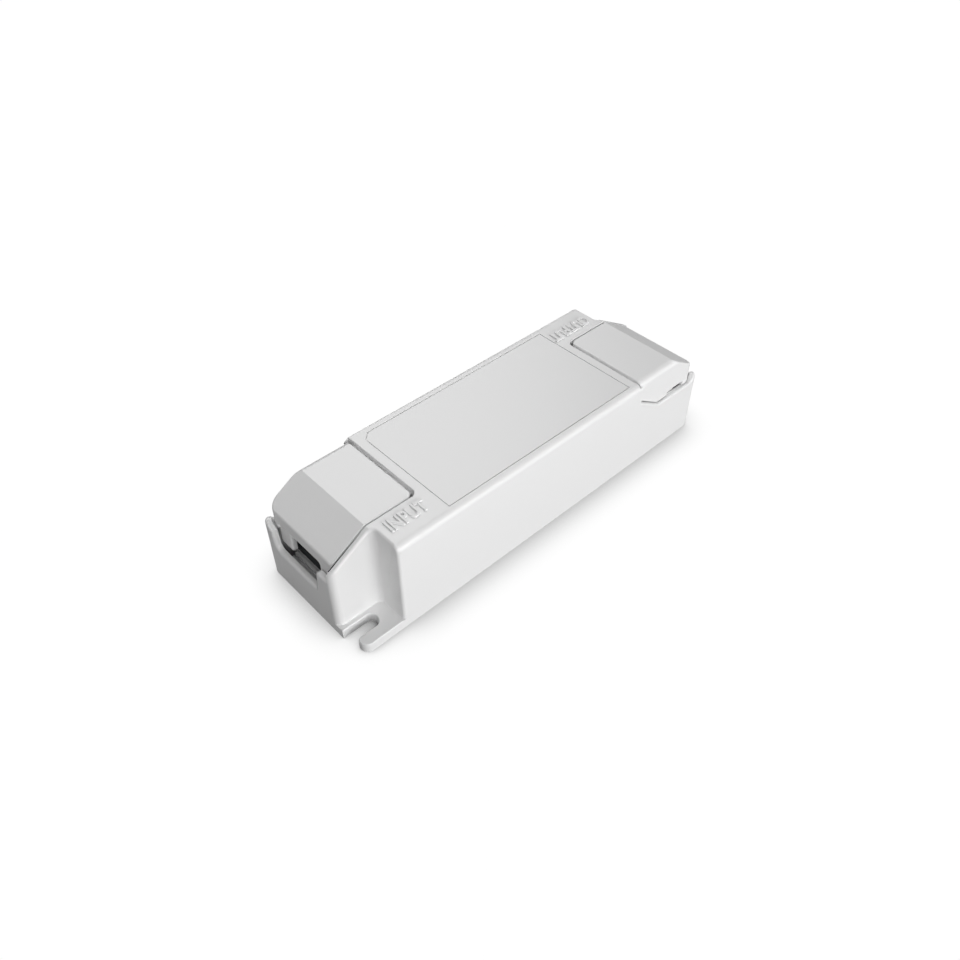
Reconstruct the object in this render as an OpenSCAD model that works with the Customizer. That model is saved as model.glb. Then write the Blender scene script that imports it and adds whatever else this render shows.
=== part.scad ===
// LED driver in a moulded plastic case with a clip-on terminal cover at each end.
// Sizes are in millimetres. The origin is at the middle of the underside, +X runs from the
// input end to the output end, and +Z is up. The two ends are the same, half a turn apart.
// In an end's own frame u runs inwards from the end face and v runs across from the lug side.

/* [Case] */
// Length of the case
body_l = 132; // [119:1:150]
// Width of the case
body_w = 40; // [36:0.5:46]
// Height of the case
body_h = 30.5; // [29:0.5:36]
// Thickness of the case's walls and roof
wall_t = 1.7; // [1.4:0.1:2]
// Radius of the two long top edges
edge_r = 2.1; // [0.8:0.1:2.1]
// Radius of the two plain upright corners
corner_r = 2.4; // [2:0.1:4]

/* [Terminal bays] */
// Length of a terminal bay, from the end face to the roof
bay_l = 29.1; // [28:0.1:31]
// Radius of the inner corner of the opening in the roof
bay_r = 1.8; // [1:0.1:2]
// Height of the bay's rim on the end wall, on the dip's lug side
rim_h = 19.2; // [18.6:0.1:20]
// Height of the bay's rim at the outer corner, beyond the dip
corner_h = 20.2; // [19.6:0.1:20.4]
// Height of the bay's rim on the side wall
side_h = 18.2; // [17.8:0.1:18.6]
// Length over which the rim drops from the outer corner to the side wall
drop_l = 1.6; // [1.2:0.1:1.8]
// Radius of the bends in that drop
drop_r = 1; // [0.4:0.1:1]
// Height of the cable dip's floor in the end wall
dip_h = 12.6; // [11.6:0.1:13]
// Width of the cable dip at half its depth
dip_w = 18.5; // [16:0.1:19]
// Distance of the dip's middle beyond the bay's middle, away from the lug
dip_off = 1.25; // [0.8:0.05:1.6]
// Run of the dip's steep flank on the lug side
near_run = 0.8; // [0.4:0.1:1.4]
// Radius of the curves in the steep flank
near_r = 1; // [0.5:0.1:1.4]
// Run of the dip's long flank on the far side
far_run = 3.8; // [2.6:0.1:4]
// Radius of the curves in the long flank
far_r = 3; // [1.5:0.1:3.2]
// Distance from the end face to where the side rim starts to climb
rise_u = 18.8; // [18:0.2:20]
// Length of the climb of the side rim
rise_l = 8.4; // [7:0.2:8.8]
// Height of the climb of the side rim
rise_h = 5.2; // [4:0.2:6]
// Radius of the bends in the side rim
rise_r = 2; // [0.5:0.1:3]
// Length by which the side wall's skin laps over the cover's inner end
side_lap = 1.4; // [1:0.1:1.5]
// Distance from the end face to the fold of the sloped end
fold_u = 12.8; // [12:0.2:13.4]
// Height at which the slope would reach the end face
slope_z = 22.8; // [22:0.2:24]

/* [Fixing lugs] */
// Length of the corner recess over a lug
recess_l = 13.7; // [13:0.1:15]
// Width of the corner recess over a lug
recess_w = 9.5; // [9:0.1:10]
// Radius of the recess's inner upright corner
recess_r = 1.7; // [1.2:0.1:3]
// Radius of the upright corner at the end of the recess's wall
partition_r = 2; // [0.5:0.1:2.4]
// Radius of the upright edge between the recess and the long side
step_r = 0.9; // [0.3:0.1:1.1]
// Thickness of a lug
lug_t = 3; // [2:0.1:4]
// Width of the open slot in a lug
slot_w = 4.3; // [4.2:0.1:4.6]
// Distance from the end face to the centre of the slot's round end
slot_l = 7.3; // [6:0.1:8.5]
// Distance of the slot's middle from the long side
slot_v = 5.85; // [5.7:0.05:6]
// Distance of the outer finger's tip from the end face
finger_u = 1.2; // [0.6:0.1:2]
// Radius of the outer finger's tip on its outer side
finger_r = 2.2; // [1:0.1:2.3]
// Radius of the outer finger's tip on the slot's side
slot_lead_r = 1.2; // [0.5:0.1:1.2]

/* [Terminal covers] */
// Thickness of a cover
cover_t = 1.4; // [1.2:0.1:1.6]
// Clearance between a cover and the walls beside it
cover_gap = 0.3; // [0.2:0.05:0.4]
// Width of the groove between a cover and the roof
groove_w = 0.95; // [0.8:0.05:1.4]
// Clearance between a cover's skirt and the rim below it
rim_gap = 0.4; // [0.2:0.05:0.6]
// Distance of a cover's outer side inside the case's side
cover_inset = 0.95; // [0.8:0.05:1.1]
// Radius of a cover's top edge on its outer side
cover_r = 2; // [1:0.1:2.4]
// Radius of a cover's outer end corner
cover_end_r = 3.3; // [2:0.1:3.4]
// Height of the lower edge of the end lip, over the cable entry
entry_h = 20.7; // [20.6:0.1:22]
// Radius of the upper corners of the cable entry
entry_r = 1.2; // [0.4:0.1:1.2]
// Lowest height of the two legs at a cover's end
leg_z = 13; // [12.9:0.1:14]
// Distance of the far leg from the cover's outer side
far_leg_in = 3.05; // [2.8:0.05:3.6]
// Width of the far leg
far_leg_w = 5.3; // [4:0.1:5.4]
// Depth that the far leg stands behind the end lip
far_leg_back = 0.5; // [0.3:0.1:0.8]
// Distance of the prising notch from the end face
notch_u = 6.8; // [6.4:0.1:7.4]
// Length of the prising notch
notch_l = 7.3; // [7:0.1:8]
// Height of the prising notch, and the radius of its round
notch_h = 2; // [1.5:0.1:2.2]
// Width of a cover's snap tongue, behind the notch
tongue_w = 4.4; // [3:0.2:5]
// Thickness of the snap tongue and of the two hooks under the roof
tongue_t = 1.3; // [1:0.1:1.5]
// Width of each hook under the roof
hook_w = 4; // [3:0.2:5]
// Distance between the middles of the two hooks
hook_span = 14; // [11:0.5:15]

/* [Label] */
// Distance of the label film from each bay
label_end = 3; // [2:0.5:10]
// Distance of the label film from the round long edges
label_side = 0.35; // [0.3:0.05:4]
// Thickness of the label film
label_t = 0.3; // [0.2:0.05:0.4]
// Gap round the label in its sunk field
label_gap = 0.3; // [0.2:0.05:0.3]
// Length of the label's cut corner
label_cut = 2.3; // [1:0.1:4]

/* [Base plate] */
// Thickness of the base plate
base_t = 1.6; // [1.2:0.1:2]
// Clearance round the base plate
base_gap = 0.15; // [0.1:0.05:0.25]
// Height of the posts that carry the circuit board
post_h = 3; // [2.6:0.1:4]
// Radius of the posts
post_r = 1.8; // [1.5:0.1:2]
// Radius of the pins on the posts
pin_r = 0.9; // [0.6:0.1:1]
// Distance of the posts from the end face
post_u = 22; // [20:0.5:24]
// Distance of the posts from the bay's side walls
post_inset = 2.2; // [2.1:0.1:2.6]
// Distance of the snap tabs from the middle of the case
snap_x = 24; // [15:1:28]
// Width of a snap tab
snap_w = 6; // [4:0.5:8]
// Thickness of a snap tab
snap_t = 1.2; // [1:0.1:1.3]
// Height of a snap tab above the underside
snap_h = 9.2; // [8.8:0.2:11]
// Reach of a snap barb into the wall
barb = 0.5; // [0.3:0.05:0.6]

/* [Cable clamps] */
// Depth of the cable saddle's top below the dip
saddle_drop = 4.6; // [4:0.1:5]
// Distance from the end face to the back of the saddle
saddle_l = 10.5; // [10:0.1:10.6]
// Height of the grip ribs on the saddle
grip_h = 0.8; // [0.5:0.1:1]
// Distance of the clamp screws from the end face
clamp_u = 7.6; // [7.4:0.1:7.8]
// Distance of the clamp screws from the bar's ends
clamp_end = 2; // [1.8:0.1:2.4]
// Clearance between a clamp bar's end and the cover's side
clamp_gap = 0.65; // [0.4:0.05:1]
// Width of a clamp bar
clamp_w = 4.4; // [4:0.1:5]
// Thickness of a clamp bar
clamp_t = 2.6; // [2:0.1:2.8]
// Radius of the clamp screws' shanks
screw_r = 1.1; // [0.9:0.05:1.2]
// Length of the clamp screws below the bar
screw_l = 6; // [4:0.5:7]
// Radius of the clamp screws' heads
head_r = 2.1; // [1.8:0.1:2.2]
// Height of the clamp screws' heads
head_h = 1.7; // [1.2:0.1:1.9]
// Clearance round every screw and lead in its hole
hole_gap = 0.1; // [0.05:0.05:0.15]

/* [Terminal blocks] */
// Distance of a terminal block's front from the end face
block_u = 15.2; // [15:0.1:15.6]
// Depth of a terminal block
block_l = 11; // [10:0.1:11.4]
// Height of a terminal block
block_h = 13; // [12:0.1:14]
// Distance between the two poles
pole_pitch = 7.6; // [7.2:0.1:8]
// Thickness of a terminal block's outer walls
block_t = 1; // [0.8:0.1:1.2]
// Width of a wire port
port_w = 3.6; // [3:0.1:3.8]
// Height of a wire port
port_h = 4; // [3.6:0.1:4.2]
// Wall of the metal cages
cage_t = 0.8; // [0.6:0.1:1]
// Depth of the metal cages
cage_l = 4.8; // [4.4:0.1:5]
// Radius of the terminal screws' heads
pole_head_r = 1.9; // [1.6:0.1:2]
// Radius of the terminal screws' shanks
pole_screw_r = 1.3; // [1:0.1:1.4]

/* [Circuit board] */
// Thickness of the circuit board
board_t = 1.6; // [1:0.1:1.6]
// Clearance between the board and the walls
board_gap = 0.4; // [0.3:0.05:0.6]
// Distance from the end face to the board's end in a bay
board_u = 11; // [10.9:0.1:12]
// Radius of the parts' leads
lead_r = 0.35; // [0.25:0.05:0.45]
// Length of the leads below the board
lead_out = 1.4; // [0.8:0.1:1.6]
// Room kept free along the side walls for the snap tabs
side_room = 2.2; // [2:0.1:2.4]
// Room kept free along the bulkheads
end_room = 1; // [0.8:0.1:2]

/* [Parts on the board] */
// Diameter of the fuse
fuse_d = 6.4; // [5:0.1:6.6]
// Height of the fuse
fuse_h = 8; // [6:0.5:10]
// Diameter of the varistor's disc
varistor_d = 6.4; // [5:0.1:6.8]
// Thickness of the varistor's disc
varistor_t = 3.6; // [3:0.1:4.4]
// Length and width of the mains choke
choke_w = 11; // [10:0.2:11.4]
// Height of the mains choke's core
choke_h = 14.5; // [13:0.5:16]
// Thickness of the mains choke's core
choke_core_t = 2.8; // [2.4:0.1:3]
// Thickness of the mains choke's coils
choke_coil_t = 1.4; // [1:0.1:1.6]
// Length of the mains filter capacitor
x_cap_l = 12.5; // [10:0.5:13]
// Width of the mains filter capacitor
x_cap_w = 6; // [4:0.2:6.4]
// Height of the mains filter capacitor
x_cap_h = 12; // [9:0.5:15]
// Length of the bridge rectifier
bridge_l = 8.4; // [7:0.2:9]
// Width of the bridge rectifier
bridge_w = 6.4; // [5:0.2:6.6]
// Height of the bridge rectifier
bridge_h = 3.4; // [2.5:0.1:5]
// Diameter of the bulk capacitor
bulk_d = 10; // [8:0.5:12]
// Height of the bulk capacitor
bulk_h = 20; // [15:0.5:20.5]
// Length of the transformer's core
trafo_l = 18; // [17:0.2:20]
// Width of the transformer across its pin rails
trafo_w = 16.4; // [16:0.2:18]
// Height of the transformer's core
trafo_h = 16; // [15:0.5:17]
// Thickness of the transformer's core
trafo_core_t = 6; // [5:0.2:7]
// Width of the core's centre leg
trafo_leg = 4.6; // [4.2:0.1:4.8]
// Diameter of the output capacitors
out_cap_d = 8; // [6.3:0.1:9]
// Height of the output capacitors
out_cap_h = 16; // [12:0.5:20]
// Diameter of the output rectifier
diode_d = 5.3; // [4:0.1:5.6]
// Length of the output rectifier
diode_l = 8; // [7:0.2:8.6]
// Diameter of the output choke
out_choke_d = 6.6; // [6:0.1:6.8]
// Height of the output choke
out_choke_h = 9; // [7:0.5:12]
// Diameter of the load resistor
resistor_d = 2.4; // [1.8:0.1:3]
// Length of the load resistor
resistor_l = 6.3; // [5.5:0.1:6.6]
// Length of the optocoupler
opto_l = 4.6; // [4:0.1:5]
// Width of the optocoupler
opto_w = 6.4; // [6:0.1:6.6]
// Diameter of the safety capacitor's disc
y_cap_d = 7.5; // [6:0.1:9]
// Thickness of the safety capacitor's disc
y_cap_t = 3.4; // [2.5:0.1:3.6]
// Length of the controller chip
chip_l = 4.9; // [4.5:0.1:5.2]
// Width of the controller chip over its legs
chip_w = 6; // [5.6:0.1:6.2]
// Length of the heatsink
heatsink_l = 12; // [11:0.2:12.4]
// Height of the heatsink
heatsink_h = 18; // [17:0.5:20]
// Thickness of the heatsink
heatsink_t = 1.6; // [1.2:0.1:2]
// Thickness of the switching transistor
transistor_t = 4.5; // [4:0.1:4.7]
// Radius of the transistor's screw
fixing_r = 1.4; // [1.2:0.05:1.5]

/* [Hidden] */
$fn = 48;
arc_steps = 6;
over = 1;
root = 0.3;
white = "whitesmoke";
tin = "silver";
copper = "peru";
black = "dimgray";

// Heights
ceiling_z = body_h - wall_t;
board_z = base_t + post_h;
board_top = board_z + board_t;
skirt_z = side_h + rim_gap;
saddle_z = dip_h - saddle_drop;
clamp_z = saddle_z + grip_h;
head_z = clamp_z + clamp_t;

// The sloped end
slope_a = atan((body_h - slope_z) / fold_u);
function slope_at(u) = slope_z + u * tan(slope_a);

// A cover in the end's frame
cover_u0 = wall_t + cover_gap;
cover_u1 = bay_l - groove_w;
cover_v0 = recess_w + wall_t + cover_gap;
cover_v1 = body_w - cover_inset;
// How far a cover's outer side stands over the side wall
cover_over = wall_t - cover_inset;
bay_mid = (recess_w + body_w) / 2;
dip_v = bay_mid + dip_off;
dip_v0 = dip_v - dip_w / 2;
dip_v1 = dip_v + dip_w / 2;
far_leg_v = cover_v1 - far_leg_in - far_leg_w;
tongue_u = notch_u + notch_l - tongue_w / 2;
tongue_v = cover_v1 - cover_t - tongue_t + root;
tongue_z = 13.6;
tongue_barb = 0.8;
barb_h = 1.6;
ledge_t = 1.6;
ledge_l = 2.6;
ledge_z = body_h - cover_t - hole_gap;
hook_z = ledge_z - ledge_t - cover_gap - tongue_t;
hook_reach = bay_l + wall_t;
hook_u = bay_l - ledge_l - cover_gap - tongue_t;
hook_vs = [dip_v - hook_span / 2, dip_v + hook_span / 2];

// Board posts across a bay
post_vs = [recess_w + wall_t + post_inset, body_w - wall_t - post_inset];

// The clamp, its saddle and its screws
clamp_l = 2 * (cover_v1 - cover_t - clamp_gap - dip_v);
clamp_span = clamp_l - 2 * clamp_end;
grip_t = 0.8;
grip_pitch = 2.4;
grip_u = 4;
boss_t = 1.1;
boss_r = screw_r + boss_t;
saddle_lap = 0.5;
saddle_w = clamp_span - 2 * (boss_r - saddle_lap);
saddle_v0 = dip_v - saddle_w / 2;
saddle_t = 1.3;
clamp_rise = 1;
clamp_vs = [dip_v - clamp_span / 2, dip_v + clamp_span / 2];

// The terminal blocks
poles = 2;
block_w = poles * pole_pitch + 2 * block_t;
port_z = 1.6;
cage_w = port_w + 2 * cage_t;
cage_h = port_h + port_z + 2 * cage_t;
cage_u = block_u + (block_l - cage_l) / 2;
cage_pin_r = 0.5;
pole_vs = [for (i = [0 : poles - 1]) dip_v + (i - (poles - 1) / 2) * pole_pitch];
pole_head_h = 1.6;
pole_head_drop = 3;
pole_head_z = block_h - pole_head_drop;
block_slope = 2;

// The label film on the roof between the bays
label_l = body_l - 2 * (bay_l + label_end);
label_w = body_w - 2 * (edge_r + label_side);

// The room inside, and the middles of pieces spread along a length with even gaps
inner_l = body_l - 2 * (bay_l + wall_t);
inner_w = body_w - 2 * wall_t;
function sum_to(sizes, n) = n > 0 ? sizes[n - 1] + sum_to(sizes, n - 1) : 0;
function spread(sizes, span) =
    let (gap = (span - sum_to(sizes, len(sizes))) / (len(sizes) - 1))
    [for (i = [0 : len(sizes) - 1]) sum_to(sizes, i) + i * gap + (sizes[i] - span) / 2];

// Parts stand in four columns along the case, and in rows across it
lead_inset = 1.2;
heatsink_row = heatsink_t + transistor_t;
choke_span = choke_w + 2 * choke_coil_t;
diode_span = diode_l + 2 * (lead_inset + lead_r);
out_row = [out_cap_d, out_cap_d, diode_span];
columns = [choke_span, max(bulk_d, heatsink_l), trafo_l, max(out_cap_d, diode_d)];
column_x = spread(columns, inner_l - 2 * end_room);
row_a = spread([choke_w, x_cap_w, bridge_w], inner_w - 2 * side_room);
row_b = spread([bulk_d, chip_w, heatsink_row], inner_w - 2 * side_room);
row_c = spread([opto_w, trafo_w, y_cap_t], inner_w - 2 * side_room);
row_d = spread(out_row, inner_w - 2 * side_room);
choke_at = [column_x[0], row_a[0]];
x_cap_at = [column_x[0], row_a[1]];
bridge_at = [column_x[0], row_a[2]];
bulk_at = [column_x[1], row_b[0]];
chip_at = [column_x[1], row_b[1]];
heatsink_at = [column_x[1], row_b[2] + (heatsink_row - heatsink_t) / 2];
opto_at = [column_x[2], row_c[0]];
trafo_at = [column_x[2], row_c[1]];
y_cap_at = [column_x[2], row_c[2]];
out_caps_at = [for (i = [0, 1]) [column_x[3], row_d[i]]];
diode_at = [column_x[3], row_d[2]];

// Pockets beside the two bays
pocket_l = bay_l - recess_l;
pocket_u = recess_l + wall_t + pocket_l / 2;
pocket_y = (wall_t + recess_w - body_w) / 2;
pocket_room = 1;
pocket_span = pocket_l - 2 * (board_gap + pocket_room);
in_pocket = spread([fuse_d, varistor_t], pocket_span);
out_pocket = spread([out_choke_d, resistor_d], pocket_span);
fuse_at = [pocket_u - body_l / 2 + in_pocket[0], pocket_y];
varistor_at = [pocket_u - body_l / 2 + in_pocket[1], pocket_y];
out_choke_at = [body_l / 2 - pocket_u + out_pocket[0], -pocket_y];
resistor_at = [body_l / 2 - pocket_u + out_pocket[1], -pocket_y];

// Leads, as points on the board
function pair_x(at, pitch) = [at - [pitch / 2, 0], at + [pitch / 2, 0]];
function pair_y(at, pitch) = [at - [0, pitch / 2], at + [0, pitch / 2]];
function quad(at, px, py) = concat(pair_x(at - [0, py / 2], px), pair_x(at + [0, py / 2], px));
lead_pitch = 5;
fuse_leads = pair_y(fuse_at, fuse_d - 2 * lead_inset);
varistor_leads = pair_y(varistor_at, varistor_d - 2 * lead_inset);
choke_leads = quad(choke_at, choke_w - 2 * lead_inset, choke_w - 2 * lead_inset);
x_cap_leads = pair_x(x_cap_at, x_cap_l - 2 * lead_inset);
bridge_leads = quad(bridge_at, bridge_l - 2 * lead_inset, bridge_w);
bulk_leads = pair_x(bulk_at, lead_pitch);
opto_leads = quad(opto_at, opto_l - 2 * lead_inset, opto_w);
trafo_pins = 4;
trafo_rail_t = 2.6;
trafo_pin_pitch = 3.6;
trafo_leads = [for (i = [0 : trafo_pins - 1], s = [-1, 1])
    trafo_at + [(i - (trafo_pins - 1) / 2) * trafo_pin_pitch, s * (trafo_w - trafo_rail_t) / 2]];
y_cap_leads = pair_x(y_cap_at, lead_pitch);
transistor_y = heatsink_at.y - heatsink_t / 2 - transistor_t;
transistor_pitch = 2.54;
transistor_leads = [for (i = [-1 : 1])
    [heatsink_at.x + i * transistor_pitch, transistor_y + transistor_t / 2]];
heatsink_leads = pair_x(heatsink_at, heatsink_l - 2 * lead_inset);
out_cap_leads = [for (at = out_caps_at) each pair_x(at, lead_pitch)];
diode_leads = pair_y(diode_at, diode_l + 2 * lead_inset);
out_choke_leads = pair_y(out_choke_at, out_choke_d - 2 * lead_inset);
resistor_pitch = 3.2;
resistor_leads = pair_y(resistor_at, resistor_pitch);
drilled = concat(fuse_leads, varistor_leads, choke_leads, x_cap_leads, bridge_leads, bulk_leads, opto_leads,
    trafo_leads, y_cap_leads, transistor_leads, heatsink_leads, out_cap_leads, diode_leads,
    out_choke_leads, resistor_leads);

// Frames and sweeps
input_end = 0;
output_end = 180;
module at_end(turn) {
    rotate([0, 0, turn]) translate([-body_l / 2, -body_w / 2, 0]) children();
}
module both_ends() {
    for (turn = [input_end, output_end]) at_end(turn) children();
}
// A profile drawn in u and z, run across from v0 to v1
module along_v(v0, v1) {
    translate([0, v1, 0]) rotate([90, 0, 0]) linear_extrude(v1 - v0) children();
}
// A profile drawn in v and z, run inwards from u0 to u1
module along_u(u0, u1) {
    translate([u0, 0, 0]) rotate([90, 0, 90]) linear_extrude(u1 - u0) children();
}

// Flat shapes
// What comes off an outside corner at the origin to round it, with the solid towards +x and +y
module corner_cut(r) {
    difference() {
        translate([-over, -over]) square(r + over);
        translate([r, r]) circle(r);
        translate([r, -over]) square([over, r + over]);
    }
}
// A rectangle between two corners, with radii from the lowest corner round to the upper left one
module soft_rect(low, high, radii) {
    size = high - low;
    difference() {
        translate(low) square(size);
        if (radii[0] > 0) translate(low) corner_cut(radii[0]);
        if (radii[1] > 0) translate([high.x, low.y]) mirror([1, 0]) corner_cut(radii[1]);
        if (radii[2] > 0) translate(high) rotate(180) corner_cut(radii[2]);
        if (radii[3] > 0) translate([low.x, high.y]) mirror([0, 1]) corner_cut(radii[3]);
    }
}
// A closed outline from corners [x, y, radius]
function unit(p) = p / norm(p);
function arc_at(a, b, c, r) =
    let (to_a = unit(a - b), to_c = unit(c - b), half = acos(to_a * to_c) / 2)
    let (centre = b + unit(to_a + to_c) * r / sin(half), from = b + to_a * r / tan(half) - centre)
    let (turn = cross(to_a, to_c) > 0 ? 2 * half - 180 : 180 - 2 * half)
    [for (i = [0 : arc_steps]) let (t = turn * i / arc_steps)
        centre + [from.x * cos(t) - from.y * sin(t), from.x * sin(t) + from.y * cos(t)]];
function flat_at(p) = [p[0], p[1]];
function rounded(points) = let (n = len(points)) [for (i = [0 : n - 1])
    let (last = flat_at(points[(i + n - 1) % n]), next = flat_at(points[(i + 1) % n]))
    let (here = flat_at(points[i]), r = points[i][2])
    each r == 0 ? [here] : arc_at(last, here, next, r)];

// Plan of the case, drawn in by an inset, with the two lug recesses left out
module plan(inset) {
    half = [body_l / 2 - inset, body_w / 2 - inset];
    r = corner_r - inset;
    difference() {
        soft_rect(-half, half, [r, r, r, r]);
        for (turn = [input_end, output_end])
            rotate(turn) translate([-body_l / 2, -body_w / 2]) recess_plan(inset);
    }
}
module recess_plan(inset) {
    low = [-over, -over];
    high = [recess_l + inset, recess_w + inset];
    soft_rect(low, high, [0, 0, recess_r + inset, 0]);
}

// The case
module case_block() {
    difference() {
        linear_extrude(body_h) plan(0);
        for (turn = [input_end, output_end]) rotate([0, 0, turn])
            translate([0, -body_w / 2, body_h]) along_u(-body_l / 2 - over, body_l / 2 + over)
                mirror([0, 1]) corner_cut(edge_r);
        // Soft upright edges of the recess, above the lug
        both_ends() translate([0, 0, lug_t]) linear_extrude(body_h) {
            translate([0, recess_w]) corner_cut(partition_r);
            translate([recess_l, 0]) corner_cut(step_r);
        }
    }
}
// A lug with its open slot and its round outer tip
module lug() {
    linear_extrude(lug_t) difference() {
        square([recess_l + root, recess_w + root]);
        translate([-over, slot_v - slot_w / 2]) square([slot_l + over, slot_w]);
        translate([slot_l, slot_v]) circle(slot_w / 2);
        // Short, round tip of the outer finger
        translate([-over, -over]) square([finger_u + over, slot_v + over]);
        translate([finger_u, 0]) corner_cut(finger_r);
        translate([finger_u, slot_v - slot_w / 2]) mirror([0, 1]) corner_cut(slot_lead_r);
    }
}
// The rim in u and z: the outer corner, the drop to the side wall, and the climb towards the roof
rise_z = side_h + rise_h;
drop_u = cover_u0 + cover_end_r - sqrt(pow(cover_end_r, 2) - pow(cover_end_r - cover_over, 2)) - drop_r / 2;
rim_line = [[-over, corner_h, 0], [drop_u - drop_l, corner_h, drop_r], [drop_u, side_h, drop_r],
    [rise_u, side_h, rise_r], [rise_u + rise_l, rise_z, rise_r / 4]];
// What is open over a bay: all above the rim, the cable dip, and the slope beside the recess
module bay_opening() {
    top = body_h + over;
    lap_v = cover_v1 + cover_gap;
    lap_u = bay_l - side_lap;
    along_v(recess_w + wall_t, lap_v + root) polygon(rounded(concat(rim_line,
        [[bay_l, rise_z, 0], [bay_l, top, 0], [-over, top, 0]])));
    // The skin of the side wall laps over the cover, with a round upper corner
    along_v(lap_v, body_w + over) polygon(rounded(concat(rim_line,
        [[lap_u, rise_z, 0], [lap_u, body_h, side_lap], [bay_l, body_h, 0], [bay_l, top, 0],
        [-over, top, 0]])));
    along_u(-over, wall_t + root) polygon(rounded([
        [recess_w + wall_t, rim_h, 0], [dip_v0 - near_run / 2, rim_h, near_r],
        [dip_v0 + near_run / 2, dip_h, near_r], [dip_v1 - far_run / 2, dip_h, far_r],
        [dip_v1 + far_run / 2, corner_h, far_r], [dip_v1 + far_run / 2 + far_r, corner_h, 0],
        [dip_v1 + far_run / 2 + far_r, top, 0], [recess_w + wall_t, top, 0]]));
    along_v(-over, recess_w + wall_t + root)
        polygon([[-over, slope_at(-over)], [fold_u, body_h], [fold_u, top], [-over, top]]);
}
// Inner walls round a bay, and the ledge under the cover's inner edge
module bay_walls() {
    z0 = board_top + board_gap;
    h = ceiling_z + root - z0;
    ledge_v0 = cover_v0 + cover_t + cover_gap;
    ledge_v1 = cover_v1 - cover_t - cover_gap;
    translate([bay_l, recess_w, z0]) cube([wall_t, body_w - recess_w - wall_t + root, h]);
    translate([recess_l - recess_r, recess_w, z0]) cube([bay_l + wall_t - recess_l + recess_r, wall_t, h]);
    translate([bay_l - ledge_l, ledge_v0, ledge_z - ledge_t])
        cube([ledge_l + root, ledge_v1 - ledge_v0, ledge_t]);
    // Round inner corner of the opening in the roof
    translate([bay_l, recess_w + wall_t, z0]) linear_extrude(body_h - z0) mirror([1, 0]) corner_cut(bay_r);
}
// Windows in the bulkhead for the cover's hooks
module hook_windows() {
    for (v = hook_vs) translate([bay_l - over, v - hook_w / 2 - cover_gap, hook_z - cover_gap])
        cube([wall_t + 2 * over, hook_w + 2 * cover_gap, tongue_t + 2 * cover_gap]);
}
// The saddle that a cable is clamped on, hollow from below, with grip ribs and two screw bosses
module saddle() {
    hollow_h = saddle_z - saddle_t - base_t;
    difference() {
        translate([wall_t - root, saddle_v0, base_t])
            cube([saddle_l - wall_t + root, saddle_w, saddle_z - base_t]);
        translate([wall_t + saddle_t, saddle_v0 + saddle_t, base_t - over])
            cube([saddle_l - wall_t - 2 * saddle_t, saddle_w - 2 * saddle_t, hollow_h + over]);
    }
    for (i = [0 : 2]) translate([grip_u + i * grip_pitch, saddle_v0, saddle_z - root])
        cube([grip_t, saddle_w, grip_h + root]);
    for (v = clamp_vs) translate([clamp_u, v, base_t]) cylinder(r = boss_r, h = clamp_z - base_t);
}
module screw_pilots() {
    for (v = clamp_vs) translate([clamp_u, v, clamp_z - screw_l - over])
        cylinder(r = screw_r + hole_gap / 2, h = screw_l + 2 * over);
}
// Pocket in the side wall for a cover's snap tongue
module tongue_pocket() {
    translate([tongue_u - tongue_w / 2 - cover_gap, body_w - wall_t - over, tongue_z - cover_gap])
        cube([tongue_w + 2 * cover_gap, over + tongue_barb + hole_gap, barb_h + 2 * cover_gap]);
}
module snap_places() {
    for (turn = [0, 180], x = [-snap_x, snap_x])
        rotate([0, 0, turn]) translate([x, inner_w / 2, 0]) children();
}
module label_outline(grow) {
    half = [label_l / 2 + grow, label_w / 2 + grow];
    polygon([[-half.x, -half.y], [half.x, -half.y], half,
        [-half.x + label_cut, half.y], [-half.x, half.y - label_cut]]);
}
module housing() {
    color(white) difference() {
        union() {
            difference() {
                union() {
                    case_block();
                    both_ends() lug();
                }
                translate([0, 0, -over]) linear_extrude(ceiling_z + over) plan(wall_t);
                both_ends() bay_opening();
            }
            both_ends() {
                bay_walls();
                saddle();
            }
        }
        both_ends() {
            hook_windows();
            screw_pilots();
            tongue_pocket();
        }
        snap_places() translate([-snap_w / 2 - cover_gap, -over, snap_h - barb_h - 2 * cover_gap])
            cube([snap_w + 2 * cover_gap, over + barb + hole_gap, barb_h + 3 * cover_gap]);
        translate([0, 0, body_h - label_t - hole_gap / 2]) linear_extrude(over) label_outline(label_gap);
    }
}

// The base plate: a flat floor with board posts, a rib under each terminal block and four snap tabs
module base_plate() {
    color(white) {
        linear_extrude(base_t) plan(wall_t + base_gap);
        both_ends() {
            for (v = post_vs) translate([post_u, v, base_t - root]) {
                cylinder(r = post_r, h = post_h + root);
                cylinder(r = pin_r, h = post_h + root + board_t + board_gap);
            }
            translate([board_u + over, dip_v - wall_t / 2, base_t - root])
                cube([bay_l - board_u, wall_t, post_h + root]);
        }
        snap_places() translate([-snap_w / 2, -base_gap - snap_t, base_t - root]) {
            cube([snap_w, snap_t, snap_h - base_t + root]);
            along_u(0, snap_w) translate([snap_t - root, snap_h - base_t + root - barb_h])
                polygon([[0, 0], [root + barb + base_gap, 0], [root, barb_h], [0, barb_h]]);
        }
    }
}

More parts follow.
